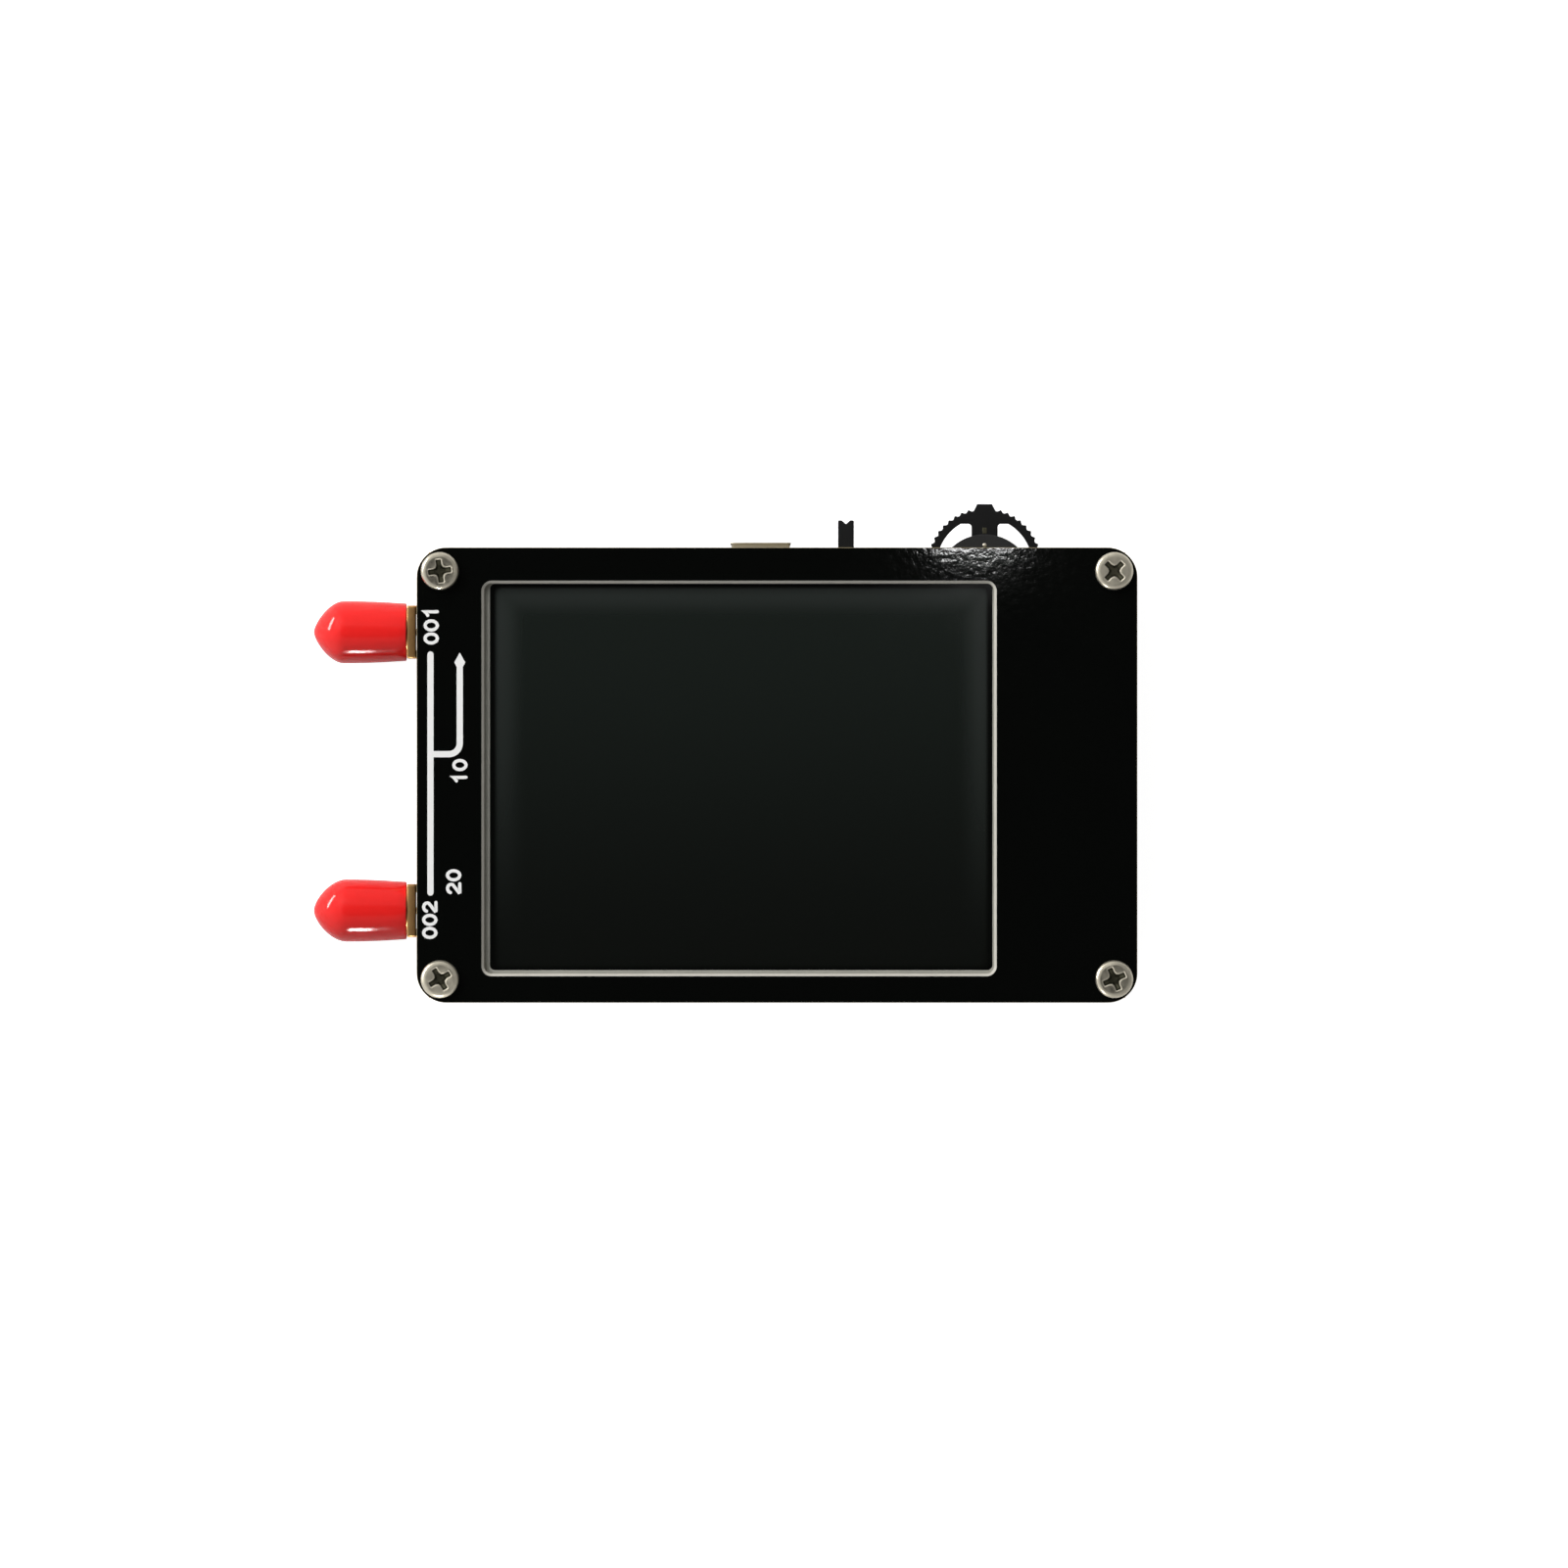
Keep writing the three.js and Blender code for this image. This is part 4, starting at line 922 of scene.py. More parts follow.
def print_ink(name, shapes):
    """Prints shapes, each a list of outlines, on the front panel."""
    layer = Form()
    for outlines in shapes:
        layer.slab(outlines, print_z, print_z + ink_height)
    fit(layer.make(name, ink_look), "board_black")


head_half = arrow_head[0] / 2
head_base = arrow_tip - arrow_head[1]
bend_centre = (arrow_x - arrow_bend_radius, arrow_bend_y + arrow_bend_radius)
bend = arc(bend_centre, arrow_bend_radius, -90, 0, 10)
long_line = [(line_x, line_ends[1] + ink_line / 2), (line_x, line_ends[0] - ink_line / 2)]
branch = [(line_x + ink_line / 2, arrow_bend_y), *bend, (arrow_x, head_base - arrow_neck)]
arrow = stroke(branch, ink_line, False)[0]
head = [(arrow_x + head_half, head_base), (arrow_x, arrow_tip), (arrow_x - head_half, head_base)]
arrow[len(branch):len(branch)] = head
print_ink("printed_lines", [stroke(long_line, ink_line), [arrow]])
for number, (text, x, y) in enumerate(labels, 1):
    shapes = []
    run = len(text) * (digit_size[0] + digit_gap) - digit_gap
    for i, digit in enumerate(text):
        start = y - run / 2 + i * (digit_size[0] + digit_gap)
        path = [(x + digit_size[1] * (0.5 - v), start + u * digit_size[0])
                for u, v in digit_paths[digit]]
        shapes.append(stroke(path, digit_stroke, closed=digit == "0"))
    print_ink(f"printed_number_{number}", shapes)


# Screws
# Nickel-plated pan head screws with a cross recess, four through the front panel into the
# front posts and four through the rear panel, where their heads are the analyzer's feet.
# The recess's walls and floor are painted darker, as shade.
head_radius = 2.25
head_height = 1.3
head_round = 0.6
head_round_steps = 6
head_steps = 64
seat_inset = 0.1
seat_rise = 0.08
recess_corner = 0.1
web_round = 0.3
recess_levels = ((1.5, 0.45, 0.42, 0), (1.38, 0.32, 0.4, 0.08), (1.22, 0.26, 0.3, 0.45),
                 (0.7, 0.2, 0.16, 0.75))
recess_turns = (8, 45, 30, 23)
nickel = finish("nickel_plate", (212, 205, 186), 0.36, 1, grain=0.8, tone=0.14, relief=0.008,
                spread=0.12)
# Painted shade: a darker plating for the recess's walls and floor. The jog wheel's spring end also
# takes it as dull steel.
recess_shade_and_dull_steel = finish("dull_plating_and_painted_recess_shade", (92, 90, 74), 0.4, 1, grain=0.3, tone=0.3, relief=0.01,
                     spread=0.1)


def cross(half, arm, web):
    """The outline of a cross recess, run clockwise, with cut arm ends and a web in each corner."""
    cut = recess_corner
    points = [(half, cut - arm), (half, arm - cut), (half - cut, arm), (arm + web, arm),
              (arm + web * web_round, arm + web * web_round), (arm, arm + web), (arm, half - cut)]
    outline = []
    for quarter in range(4):
        spin = Matrix.Rotation(math.radians(90 * quarter), 2)
        outline += [tuple(spin @ Vector(point)) for point in points]
    return outline[::-1]


def screw_form(shank, flip):
    """A screw about the origin, its head's seat at zero."""
    form = Form(Matrix.Rotation(math.pi, 4, "X") if flip else None)
    seat = form.ring(circle(head_radius - seat_inset, head_steps), 0)
    rim = form.ring(circle(head_radius, head_steps), seat_rise)
    rows = [seat, rim]
    for i in range(head_round_steps + 1):
        angle = math.radians(90 * i / head_round_steps)
        radius = head_radius - head_round * (1 - math.cos(angle))
        height = head_height - head_round * (1 - math.sin(angle))
        rows.append(form.ring(circle(radius, head_steps), height))
    form.wall(rows)
    recess = [form.ring(cross(*shape), head_height - depth) for *shape, depth in recess_levels]
    form.lid([rows[-1], recess[0]], True)
    form.wall(recess[1::-1], 0, False)
    # The recess's walls and floor below the chamfer take the darker finish, which is painted shade.
    for high_ring, low_ring in zip(recess[1:], recess[2:]):
        form.wall([low_ring, high_ring], 1, False)
    form.lid([recess[-1]], True, 1)
    start, end = thread_sleeve(form, stud_radius, *stud_thread, -shank, shank)
    form.lid([seat, end], False)
    form.lid([start], False)
    return form


for side in ("front", "rear"):
    low, high = span(f"{side}_screw_1")
    flip = side == "rear"
    seat_z = head_height if flip else high.z - head_height
    turns = [-turn if flip else turn for turn in recess_turns]
    screw = screw_form(high.z - low.z - head_height, flip).make("screw_pattern", nickel, recess_shade_and_dull_steel)
    places = carrier([(x, y, seat_z) for x, y in screw_places("front_panel")], turns)
    nodes = [f"{side}_screw_{i}" for i in (1, 2, 3, 4)]
    fit(grow(f"{side}_screws", places, on_points, screw, nickel, recess_shade_and_dull_steel), "screw_steel", *nodes)


# Ports
# Two edge-mounted jacks straddle the main board's left end. Each is a turned and plated
# brass body with a square flange, four legs and a screw thread, with a white insulator and
# a hollow contact pressed in.
port_middles = (14.375, -18.725)
port_seat_x = -36.778
port_z = 5.85
port_steps = 48
flange_half = 3.15
flange_length = 1.0
flange_bevel = 0.28
flange_edges = (0.05, 0.12)
neck_radius = 2.8
thread_start = 2.5
thread_end = 8.14
thread_radius = 3.125
thread_depth = 0.32
thread_pitch = 0.705
jack_end = 8.64
jack_rim = 0.12
bore_radius = 2.05
mouth_radius = 2.3
mouth_floor = 6.74
mouth_flare = 0.08
leg_side = 1.0
leg_end = 4.2
leg_overlap = 0.4
leg_levels = ((1.05, 2.05), (-1.45, -0.45))
insulator_radii = (0.69, 2.0)
insulator_inner_cut = 0.12
insulator_outer_cut = (0.1, 0.15)
contact_radius = 0.64
contact_cut = 0.06
contact_hole = 0.46
contact_hole_floor = 4.24
pin_radius = 0.4
pin_end = 2.4
pin_cut = 0.1
jack_brass = finish("plated_brass", (214, 168, 110), 0.36, 1, grain=0.5, tone=0.06, relief=0.003,
                    stretch=(6, 1, 1))
teflon = finish("white_insulator", (232, 230, 222), 0.5, grain=0.4, tone=0.03)


def jack_form(turn):
    """The body of a jack, its flange's rear face at zero and its mouth at the far end."""
    form = Form(turn)
    outline = rounded((-flange_half, -flange_half), (flange_half, flange_half), flange_bevel, 6)
    foot, face = form.shell(outline, edge_levels(0, flange_length, *flange_edges))
    root = form.ring(circle(neck_radius, port_steps), flange_length)
    form.lid([face, root], True)
    neck = form.ring(circle(neck_radius, port_steps), thread_start)
    form.wall([root, neck])
    sleeve, crown = thread_sleeve(form, thread_radius, thread_depth, thread_pitch, thread_start,
                                  thread_end - thread_start, port_steps, rows_per_turn=8)
    form.wall([neck, sleeve])
    tip = thread_radius - thread_depth
    rim_low = form.ring(circle(tip, port_steps), jack_end - jack_rim)
    rim = form.ring(circle(tip - jack_rim, port_steps), jack_end)
    form.wall([crown, rim_low, rim])
    mouth_low, mouth_high = form.shell(circle(mouth_radius, port_steps)[::-1], [
        (0, mouth_floor), (0, jack_end - mouth_flare), (-mouth_flare, jack_end)])
    form.lid([rim, mouth_high], True)
    bore_low, bore_high = form.shell(circle(bore_radius, port_steps)[::-1], [(0, 0), (0, mouth_floor)])
    form.lid([mouth_low, bore_high], True)
    form.lid([foot, bore_low], False)
    for edge, inner in ((-flange_half, leg_side - flange_half), (flange_half - leg_side, flange_half)):
        for level_low, level_high in leg_levels:
            form.block((level_low, edge, -leg_end), (level_high, inner, leg_overlap), edge=0.09)
    return form


inner, outer = insulator_radii
insulator_profile = [
    (inner, 0), (outer, 0), (outer, mouth_floor - insulator_outer_cut[1]),
    (outer - insulator_outer_cut[0], mouth_floor), (inner + insulator_inner_cut, mouth_floor),
    (inner, mouth_floor - insulator_inner_cut), (inner, 0),
]
contact_profile = [
    (0, -pin_end), (pin_radius - pin_cut, -pin_end), (pin_radius, pin_cut - pin_end), (pin_radius, 0),
    (contact_radius, 0), (contact_radius, mouth_floor - contact_cut),
    (contact_radius - contact_cut, mouth_floor), (contact_hole, mouth_floor),
    (contact_hole, contact_hole_floor), (0, contact_hole_floor),
]
for number, middle_y in enumerate(port_middles, 1):
    port = f"port_{number}"
    turn = aimed((port_seat_x, middle_y, port_z), (0, 0, 1), (-1, 0, 0))
    jack_form(turn).stand_for(f"{port}_jack", "body", "jack_brass", jack_brass)
    insulator = Form(turn).turned(insulator_profile)
    insulator.stand_for(f"{port}_insulator", "body", "insulator_white", teflon)
    contact = Form(turn).turned(contact_profile, 32)
    contact.stand_for(f"{port}_contact", "pin", "jack_brass", jack_brass)


# Dust caps
# Red caps of soft vinyl, dipped and pulled over the jacks' threads. They have a glossy
# skin, a rolled mouth and a nose, which is a little more pointed on the first.
cap_mouth_x = -37.878
cap_inner = 3.185
cap_outer = 3.715
cap_length = 11.04
cap_mouth_outer = 3.43
cap_noses = ((3.6, 0.5, 0.26), (3.9, 0.5, 0.34))
cap_nose_wall = 0.9
cap_steps = 24
cap_mouth_steps = 6
cap_lip = (cap_mouth_outer - cap_inner) / 2
cap_red = finish("red_vinyl", (248, 40, 38), 0.1, grain=1.4, tone=0.05, relief=0.012, spread=0.03,
                 specular=0.3)


def nose_profile(radius, start, length, shoulder, tip):
    """The side of a nose from a height on, a curve with a round shoulder and a round tip."""
    end = (0, start + length)
    pulls = ((radius, start + shoulder * length), (tip * radius, start + length))
    corners = [Vector(corner) for corner in ((radius, start), *pulls, end)]
    return [tuple(point) for point in interpolate_bezier(*corners, cap_steps)[:-1]] + [end]


for number, (middle_y, (nose, *roundness)) in enumerate(zip(port_middles, cap_noses), 1):
    start = cap_length - nose
    profile = [(cap_inner, start / 2), (cap_inner, cap_lip)]
    for i in range(1, cap_mouth_steps + 1):
        angle = math.radians(180 - 180 * i / cap_mouth_steps)
        radius = cap_inner + cap_lip + cap_lip * math.cos(angle)
        profile.append((radius, cap_lip - cap_lip * math.sin(angle)))
    for i in range(1, cap_mouth_steps):
        swell = (cap_outer - cap_mouth_outer) * math.sin(math.radians(90 * i / cap_mouth_steps))
        profile.append((cap_mouth_outer + swell, cap_lip + (start - cap_lip) * i / cap_mouth_steps))
    profile += nose_profile(cap_outer, start, nose, *roundness)
    inside = nose_profile(cap_inner, start, nose - cap_nose_wall, *roundness)
    cap = Form(aimed((cap_mouth_x, middle_y, port_z), (0, 0, 1), (-1, 0, 0)))
    cap.turned(profile + inside[::-1] + profile[:1], steps=64)
    cap.stand_for(f"port_{number}_cap", "skin", "cap_red", cap_red, body=f"dust_cap_{number}")


# USB socket
# A socket for a micro USB plug under the board's rear edge: a shell folded from one strip
# of steel, its mouth flared, over a black tongue with five plated contacts.
usb_place = (4.218, 25.025, 6.3)
usb_wide = 3.45
usb_narrow = 2.5
usb_height = 2.45
usb_side = 1.5
usb_wall = 0.3
usb_length = 5.0
usb_flare = 0.2
usb_throat = -0.75
usb_flare_middle = -0.3
usb_flare_share = 0.4
usb_lip_cut = 0.03
usb_mouth_cut = (0.04, 0.05)
usb_round = 0.35
usb_least_round = 0.08
usb_edge = 0.06
usb_room = 0.05
tongue_half = 1.95
tongue_top = -0.65
tongue_bottom = -1.25
tongue_front = -1.0
tongue_block = 1.3
tongue_back = usb_wall - usb_length + tongue_block
usb_contacts = 5
usb_contact_pitch = 0.65
usb_contact_half = 0.15
usb_contact_front = -1.3
usb_contact_levels = (-1.29, -1.15)
steel = finish("folded_steel", (226, 219, 202), 0.46, 1, tone=0.1, relief=0.003, stretch=(1, 4, 1))
moulded_black = finish("moulded_nylon", (26, 26, 27), 0.5, grain=0.3, tone=0.1, relief=0.006)


def softened(corners, radius, steps=5):
    """A polygon of corners, run anticlockwise, with each corner rounded."""
    outline = []
    for i, here in enumerate(corners):
        here = Vector(here)
        back = (Vector(corners[i - 1]) - here).normalized()
        on = (Vector(corners[(i + 1) % len(corners)]) - here).normalized()
        reach = radius / math.tan(back.angle(on) / 2)
        centre = here + (back + on).normalized() * radius / math.sin(back.angle(on) / 2)
        first = here + back * reach - centre
        sweep = first.angle_signed(here + on * reach - centre)
        for k in range(steps + 1):
            outline.append(tuple(centre + Matrix.Rotation(-sweep * k / steps, 2) @ first))
    return outline


def usb_outline(depth):
    """The socket's section at a depth inside its outer face, with Z up from the board."""
    slant = depth * math.tan(math.pi / 8)
    wide = usb_wide - depth
    narrow = usb_narrow - slant
    corners = [(-wide, -depth), (-wide, slant - usb_side), (-narrow, depth - usb_height),
               (narrow, depth - usb_height), (wide, slant - usb_side), (wide, -depth)]
    return softened(corners, max(usb_round - depth, usb_least_round))


usb_turn = aimed(usb_place, (-1, 0, 0), (0, 1, 0))
shell = Form(usb_turn)
skin = [shell.ring(usb_outline(depth), height) for depth, height in (
    (usb_edge, -usb_length), (0, usb_edge - usb_length), (0, usb_throat),
    (-usb_flare * usb_flare_share, usb_flare_middle), (-usb_flare, -usb_edge),
    (-usb_flare + usb_lip_cut, 0),
)]
shell.wall(skin)
cavity = [shell.ring(usb_outline(depth)[::-1], height) for depth, height in (
    (usb_wall, usb_wall - usb_length), (usb_wall, usb_throat),
    (usb_wall - usb_flare, -usb_mouth_cut[1]), (usb_wall - usb_flare - usb_mouth_cut[0], 0),
)]
shell.wall(cavity)
shell.lid([skin[0]], False)
shell.lid([cavity[0]], True)
shell.lid([skin[-1], cavity[-1]], True)
shell.stand_for("usb_shell", "strip", "socket_steel", steel)

tongue = Form(usb_turn)
tongue.slab([usb_outline(usb_wall + usb_room)], usb_wall - usb_length, tongue_back, edge=0.04)
tongue.block((-tongue_half, tongue_bottom, tongue_back - usb_room),
             (tongue_half, tongue_top, tongue_front), edge=0.1)
tongue.stand_for("usb_tongue", "body", "control_black", moulded_black)
strips = Form(usb_turn)
for i in range(usb_contacts):
    middle = (i - (usb_contacts - 1) / 2) * usb_contact_pitch
    strips.block((middle - usb_contact_half, usb_contact_levels[0], tongue_back),
                 (middle + usb_contact_half, usb_contact_levels[1], usb_contact_front), edge=0.03)
fit(strips.make("usb_contacts", plating), "jack_brass")


# Power switch
# A slide switch under the rear edge: a black base and a folded steel cover, from which
# the black lever sticks out. The lever's end is notched for a fingernail.
switch_corner = 0.2
switch_wall = 0.25
lever_half = 0.95
lever_travel = 2
lever_notch = 0.45
lever_notch_half = 0.5
lever_tip_round = 0.15
lever_shoulder = 24.425
lever_block_front = 23.975
lever_finger_z = (5.075, 6.175)
lever_arm_z = (5.35, 5.9)
lever_arm_back = 1
lever_lap = 0.1
lever_block_half = 1.5
switch_tab = (0.55, 0.2, 0.3)
switch_tab_inset = 0.9
slot_room = 0.15
switch_lap = 0.05
control_black = finish("control_plastic", (14, 14, 15), 0.42, grain=0.4, relief=0.012, spread=0.06,
                       specular=0.3)


base = Form().block(*span("switch_base"), edge=0.06)
base.stand_for("switch_base", "plate", "control_black", moulded_black)

low, high = span("switch_cover")
lever_low, lever_high = span("switch_lever")
lever_x = (lever_low.x + lever_high.x) / 2
lever_left, lever_right = lever_x - lever_half, lever_x + lever_half
outline = rounded(low, high, switch_corner, 6)
cover = Form().slab([outline], low.z, low.z + switch_wall, edge=0.07)
slot_low, slot_high = lever_left - slot_room, lever_right + lever_travel + slot_room
inner_low, inner_high = low.xy + Vector((switch_wall,) * 2), high.xy - Vector((switch_wall,) * 2)
walls = [(slot_low, high.y), *outline[7:], *outline[:7], (slot_high, high.y), (slot_high, inner_high.y),
         (inner_high.x, inner_high.y), (inner_high.x, inner_low.y), (inner_low.x, inner_low.y),
         (inner_low.x, inner_high.y), (slot_low, inner_high.y)]
cover.slab([walls], low.z + switch_wall, high.z)
for x in (low.x + switch_tab_inset, high.x - switch_tab_inset - switch_tab[0]):
    cover.block((x, low.y, high.z - switch_lap),
                (x + switch_tab[0], low.y + switch_tab[1], high.z + switch_tab[2]), edge=0.04)
cover.stand_for("switch_cover", "shell", "socket_steel", steel)

tip_y = lever_high.y
tip_low = tip_y - lever_tip_round
finger = [
    (lever_left, lever_shoulder), (lever_right, lever_shoulder),
    *arc((lever_right - lever_tip_round, tip_low), lever_tip_round, 0, 90, 4),
    (lever_x + lever_notch_half, tip_y), (lever_x, tip_y - lever_notch),
    (lever_x - lever_notch_half, tip_y),
    *arc((lever_left + lever_tip_round, tip_low), lever_tip_round, 90, 180, 4),
]
lever = Form().slab([finger], *lever_finger_z, edge=0.07)
lever.block((lever_left, lever_low.y + lever_arm_back, lever_arm_z[0]),
            (lever_right, lever_shoulder + lever_lap, lever_arm_z[1]), edge=0.04)
lever.block((lever_x - lever_block_half, lever_low.y, lever_low.z),
            (lever_x + lever_block_half, lever_block_front, lever_arm_z[1]), edge=0.06)
lever.stand_for("switch_lever", "body", "control_black", control_black, body="power_slider")


# Jog switch
# A switch with a knurled rocking wheel under the rear edge: a black base with two rails, a
# steel carrier with the wheel's spindle, the black wheel with its nub, and a black cover.
jog_x = 30.868
jog_y = 22.325
wheel_radius = 6.7
wheel_z = (3.5, 5.4)
wheel_edge = 0.12
wheel_bore = 1.3
knurl_rise = 0.18
knurl_pitch = 0.85
knurl_depth = 0.3
knurl_steps = 8
knurl_reach = 2.05
knurl_fullness = 0.6
nub_half = 1.25
nub_height = 0.6
nub_round = 0.12
nub_taper = 0.75
window_side = 5.7
window_top = 4.95
window_turn = 12
window_round = 0.4
hub_radius = 3.2
spoke_half = 1.55
base_inset = 0.65
base_back = 2
rail = (2.45, 3.35)
rail_top = 3.45
rail_lap = 0.1
floor_top = 3.0
cover_radius = 5.75
cover_centre = (0, -2.07)
cover_half = 4.0
rivet_y = 2.4
rivet_profile = ((0, -0.1), (0.24, -0.1), (0.24, 0.02), (0.2, 0.07), (0.12, 0.11), (0, 0.13))
carrier_top = 3.45
spindle_radius = 1.2
spindle_lap = 0.1
spindle_edge = 0.12
spring_half = 0.26
spring_y = (3.78, 4.5)
spring_z = (wheel_z[1] - 0.3, wheel_z[1] + 0.03)
wheel_look = finish("wheel_plastic", (12, 12, 13), 0.48, grain=0.25, tone=0.15, relief=0.012,
                    spread=0.06, specular=0.25)


def wheel_outline():
    """The wheel seen from the front: knurled where a finger reaches it, with a nub in the middle."""
    nub_turn = math.asin(nub_half / wheel_radius)
    knurl_start = math.pi / 2 + nub_turn
    knurl_end = math.pi + math.asin(knurl_reach / wheel_radius)
    count = round((knurl_end - knurl_start) * wheel_radius / knurl_pitch)
    step = (knurl_end - knurl_start) / count
    left = []
    for i in range(count):
        for k in range(knurl_steps):
            share = (k + 0.5) / knurl_steps
            wave = 0.5 + 0.5 * math.cos(2 * math.pi * (share - 0.25))
            dip = knurl_depth * wave ** knurl_fullness
            reach = wheel_radius + knurl_rise - dip
            angle = knurl_start + (i + share) * step
            left.append((reach * math.cos(angle), reach * math.sin(angle)))
    right = [(-x, y) for x, y in reversed(left)]
    top = wheel_radius + nub_height - nub_round
    base = wheel_radius * math.cos(nub_turn)
    tip = nub_half * nub_taper - nub_round
    nub = [(nub_half, base), *arc((tip, top), nub_round, 10, 90, 3),
           *arc((-tip, top), nub_round, 90, 170, 3), (-nub_half, base)]
    hidden_ends = (math.degrees(knurl_end), math.degrees(3 * math.pi - knurl_end))
    hidden = arc((0, 0), wheel_radius, *hidden_ends, 48)
    return right + nub + left + hidden[1:-1]


def wheel_window(side):
    """One of the wheel's windows, between the hub, the spoke and the rim, run clockwise."""
    outer_end = math.degrees(math.asin(window_top / window_side))
    inner_end = math.degrees(math.acos(spoke_half / hub_radius))
    points = arc((0, 0), window_side, window_turn, outer_end, 12)
    points += arc((spoke_half + window_round, window_top - window_round), window_round, 90, 180, 4)
    points += arc((0, 0), hub_radius, inner_end, window_turn, 8)
    return points[::-1] if side > 0 else [(-x, y) for x, y in points]


def at_jog(outline, scale=1):
    return [(x * scale + jog_x, y * scale + jog_y) for x, y in outline]


low, high = span("jog_base")
base = Form().block((low.x + base_inset, low.y, low.z),
                    (high.x - base_inset, high.y, floor_top), edge=0.1)
for start, end in ((-rail[1], -rail[0]), rail):
    base.block((jog_x + start, low.y, low.z + rail_lap), (jog_x + end, high.y, rail_top), edge=0.08)
base.block(low, (high.x, low.y + base_back, high.z), edge=0.12)
base.stand_for("jog_base", "body", "control_black", moulded_black)

low, high = span("jog_cover")
arc_start = math.degrees(math.acos(cover_half / cover_radius))
front_edge = arc(cover_centre, cover_radius, arc_start, 180 - arc_start, 32)
outline = [(-cover_half, low.y - jog_y), (cover_half, low.y - jog_y), *front_edge]
cover = Form().slab([at_jog(outline)], low.z, high.z, edge=0.08)
cover.stand_for("jog_cover", "plate", "control_black", moulded_black)
rivet = Form(aimed((jog_x, jog_y + rivet_y, high.z), (1, 0, 0), (0, 0, 1))).turned(rivet_profile, 24)
fit(rivet.make("jog_cover_rivet", steel), "socket_steel")

low, high = span("jog_carrier")
slider = Form().block(low, (high.x, high.y, carrier_top), edge=0.06)
spindle_levels = edge_levels(carrier_top - spindle_lap, high.z, 0, spindle_edge)
spindle_low, spindle_high = slider.shell(at_jog(circle(spindle_radius, 32)), spindle_levels)
slider.lid([spindle_low], False)
slider.lid([spindle_high], True)
slider.stand_for("jog_carrier", "plate", "socket_steel", steel, body="jog_slider")

wheel = Form()
wheel_levels = edge_levels(*wheel_z, wheel_edge, wheel_edge)
rim_rows = [wheel.ring(at_jog(wheel_outline(), 1 - depth / wheel_radius), height)
            for depth, height in wheel_levels]
wheel.wall(rim_rows)
openings = (circle(wheel_bore, 32)[::-1], wheel_window(1), wheel_window(-1))
ends = [(rim_rows[0], rim_rows[-1]),
        *[wheel.shell(at_jog(outline), wheel_levels) for outline in openings]]
wheel.lid([end[0] for end in ends], False)
wheel.lid([end[1] for end in ends], True)
wheel.stand_for("jog_wheel", "body", "control_black", wheel_look, body="jog_rocker")
spring = Form()
spring.block((jog_x - spring_half, jog_y + spring_y[0], spring_z[0]),
             (jog_x + spring_half, jog_y + spring_y[1], spring_z[1]), edge=0.05)
fit(spring.make("jog_spring_end", recess_shade_and_dull_steel), "socket_steel", body="jog_rocker")


# Battery
# A flat pouch cell in aluminium foil, taped to the rear face of the main board. Its sealed
# end is folded over and taped in amber, and two wires in silicone run from it to a plug.
cell_corner = 1.2
cell_round = 0.8
ledge_width = 2.5
ledge_half = 0.7
ledge_lap = 0.3
amber_inset = 4
amber_back = 0.05
amber_thickness = 0.06
plug_rib_x = 1.3
plug_rib_half = 0.2
plug_rib_y = (0.2, 0.9)
plug_rib_z = (-0.04, 0.2)
plug_room = 0.1
socket_floor = 0.6
socket_edge = 0.1
socket_corner = 0.25
hollow_corner = 0.15
foil = finish("pouch_foil", (178, 181, 184), 0.32, 1, grain=2.2, tone=0.06, relief=0.11, spread=0.08)
amber_tape = finish("amber_tape", (196, 128, 40), 0.25, grain=1.5, tone=0.08, relief=0.02, coat=0.5)
white_nylon = finish("white_connector", (226, 223, 210), 0.48, grain=0.4, tone=0.04, relief=0.004)
lead_looks = {
    "red": finish("red_silicone", (188, 22, 26), 0.45, grain=0.5, tone=0.06, relief=0.004),
    "black": finish("black_silicone", (24, 24, 25), 0.45, grain=0.5, tone=0.08, relief=0.004),
}


def repaint(node, look):
    """Gives a CAD node whose shape is right a better finish."""
    for slot in bpy.data.objects[node].material_slots:
        slot.material = look


low, high = span("battery_cell")
cell = Form()
ledge_y = high.y - ledge_width
ledge_low, ledge_high = [(low.z + high.z) / 2 + side * ledge_half for side in (-1, 1)]
cell.slab([rounded(low, (high.x, ledge_y), cell_corner)], low.z, high.z, cell_round)
cell.block((low.x + cell_corner, ledge_y - ledge_lap, ledge_low),
           (high.x - cell_corner, high.y, ledge_high), edge=0.2)
fit(cell.make("battery_pouch", foil), "battery_foil", "battery_cell")
amber = Form()
amber.block((low.x + amber_inset, ledge_y + amber_back, ledge_low - amber_thickness),
            (high.x - amber_inset, high.y + amber_thickness, ledge_high + amber_thickness), edge=0.25)
fit(amber.make("battery_amber_tape", amber_tape), "flex_amber")
tape = Form().block(*span("battery_tape"), edge=0.05)
fit(tape.make("battery_foam_tape", foam), "foam_tape", "battery_tape")

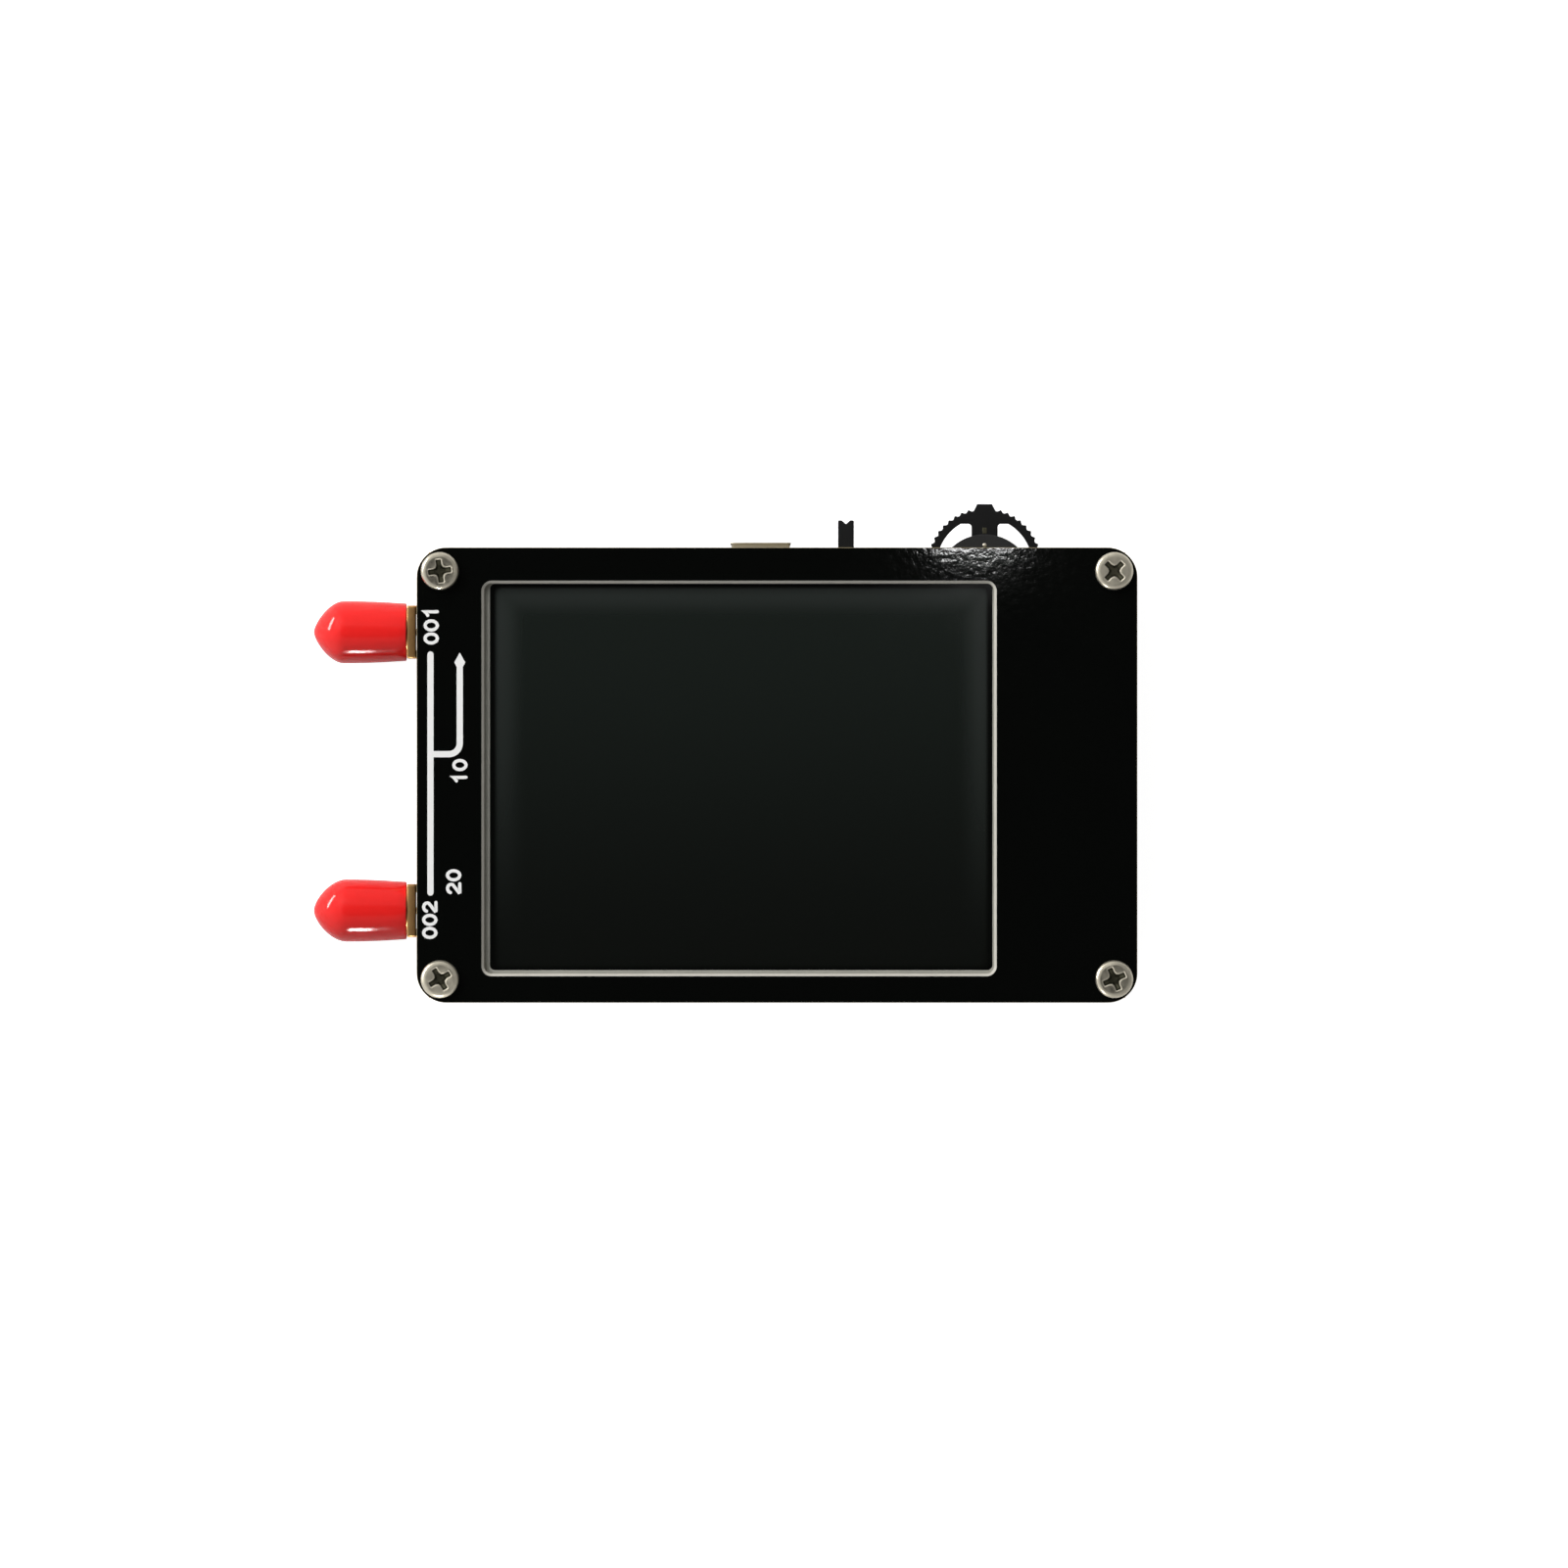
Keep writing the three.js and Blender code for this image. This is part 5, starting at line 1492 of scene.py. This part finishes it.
plug_low, plug_high = span("battery_plug")
plug_middle = (plug_low + plug_high) / 2
plug = Form().block(plug_low, plug_high, edge=0.12)
for x in (plug_middle.x - plug_rib_x, plug_middle.x + plug_rib_x):
    plug.block((x - plug_rib_half, plug_low.y + plug_rib_y[0], plug_low.z + plug_rib_z[0]),
               (x + plug_rib_half, plug_low.y + plug_rib_y[1], plug_low.z + plug_rib_z[1]), edge=0.03)
plug.stand_for("battery_plug", "body", "connector_white", white_nylon)

low, high = span("battery_socket")
socket = Form(aimed((plug_middle.x, high.y, plug_middle.z), (1, 0, 0), (0, -1, 0)))
half = (high.x - low.x) / 2
room = (plug_high - plug_low) / 2 + Vector((plug_room, 0, plug_room))
length = high.y - low.y
outer = rounded((-half, plug_middle.z - high.z), (half, plug_middle.z - low.z), socket_corner, 5)
foot, face = socket.shell(outer, edge_levels(0, length, socket_edge, socket_edge))
hollow = rounded((-room.x, -room.z), (room.x, room.z), hollow_corner, 4)[::-1]
hollow_levels = [(0, socket_floor), (0, length - socket_edge), (-socket_edge, length)]
floor_ring, mouth = socket.shell(hollow, hollow_levels)
socket.lid([foot], False)
socket.lid([face, mouth], True)
socket.lid([floor_ring], True)
socket.stand_for("battery_socket", "body", "connector_white", white_nylon)
for colour, look in lead_looks.items():
    repaint(f"battery_lead_{colour}", look)


# Display ribbon
# An amber flexible print that leaves the edge of the display glass, bends down and is
# soldered flat to the main board. Its copper tracks show as darker lines along it.
track_pitch = 0.55
track_edges = (0.24, 0.28)
track_amber = (128, 66, 20)
ribbon = finish("polyimide_ribbon", (188, 112, 30), 0.28, tone=0.1, coat=0.3)
ribbon_tree = ribbon.node_tree
track_phase = reckon(ribbon_tree, "PINGPONG", own_axes(ribbon_tree)["Y"], track_pitch * MM / 2)
track_start, track_end = [track_pitch * MM * share for share in track_edges]
track_shape = ranged(ribbon_tree, track_phase, track_start, track_end, 0, 1)
amber_tone = ribbon_tree.nodes["Tone"].outputs["Result"]
wire(ribbon_tree, ribbon_tree.nodes["Principled BSDF"], {
    "Base Color": mixed(ribbon_tree, track_shape, amber_tone, tint(track_amber)),
})
repaint("display_flex", ribbon)
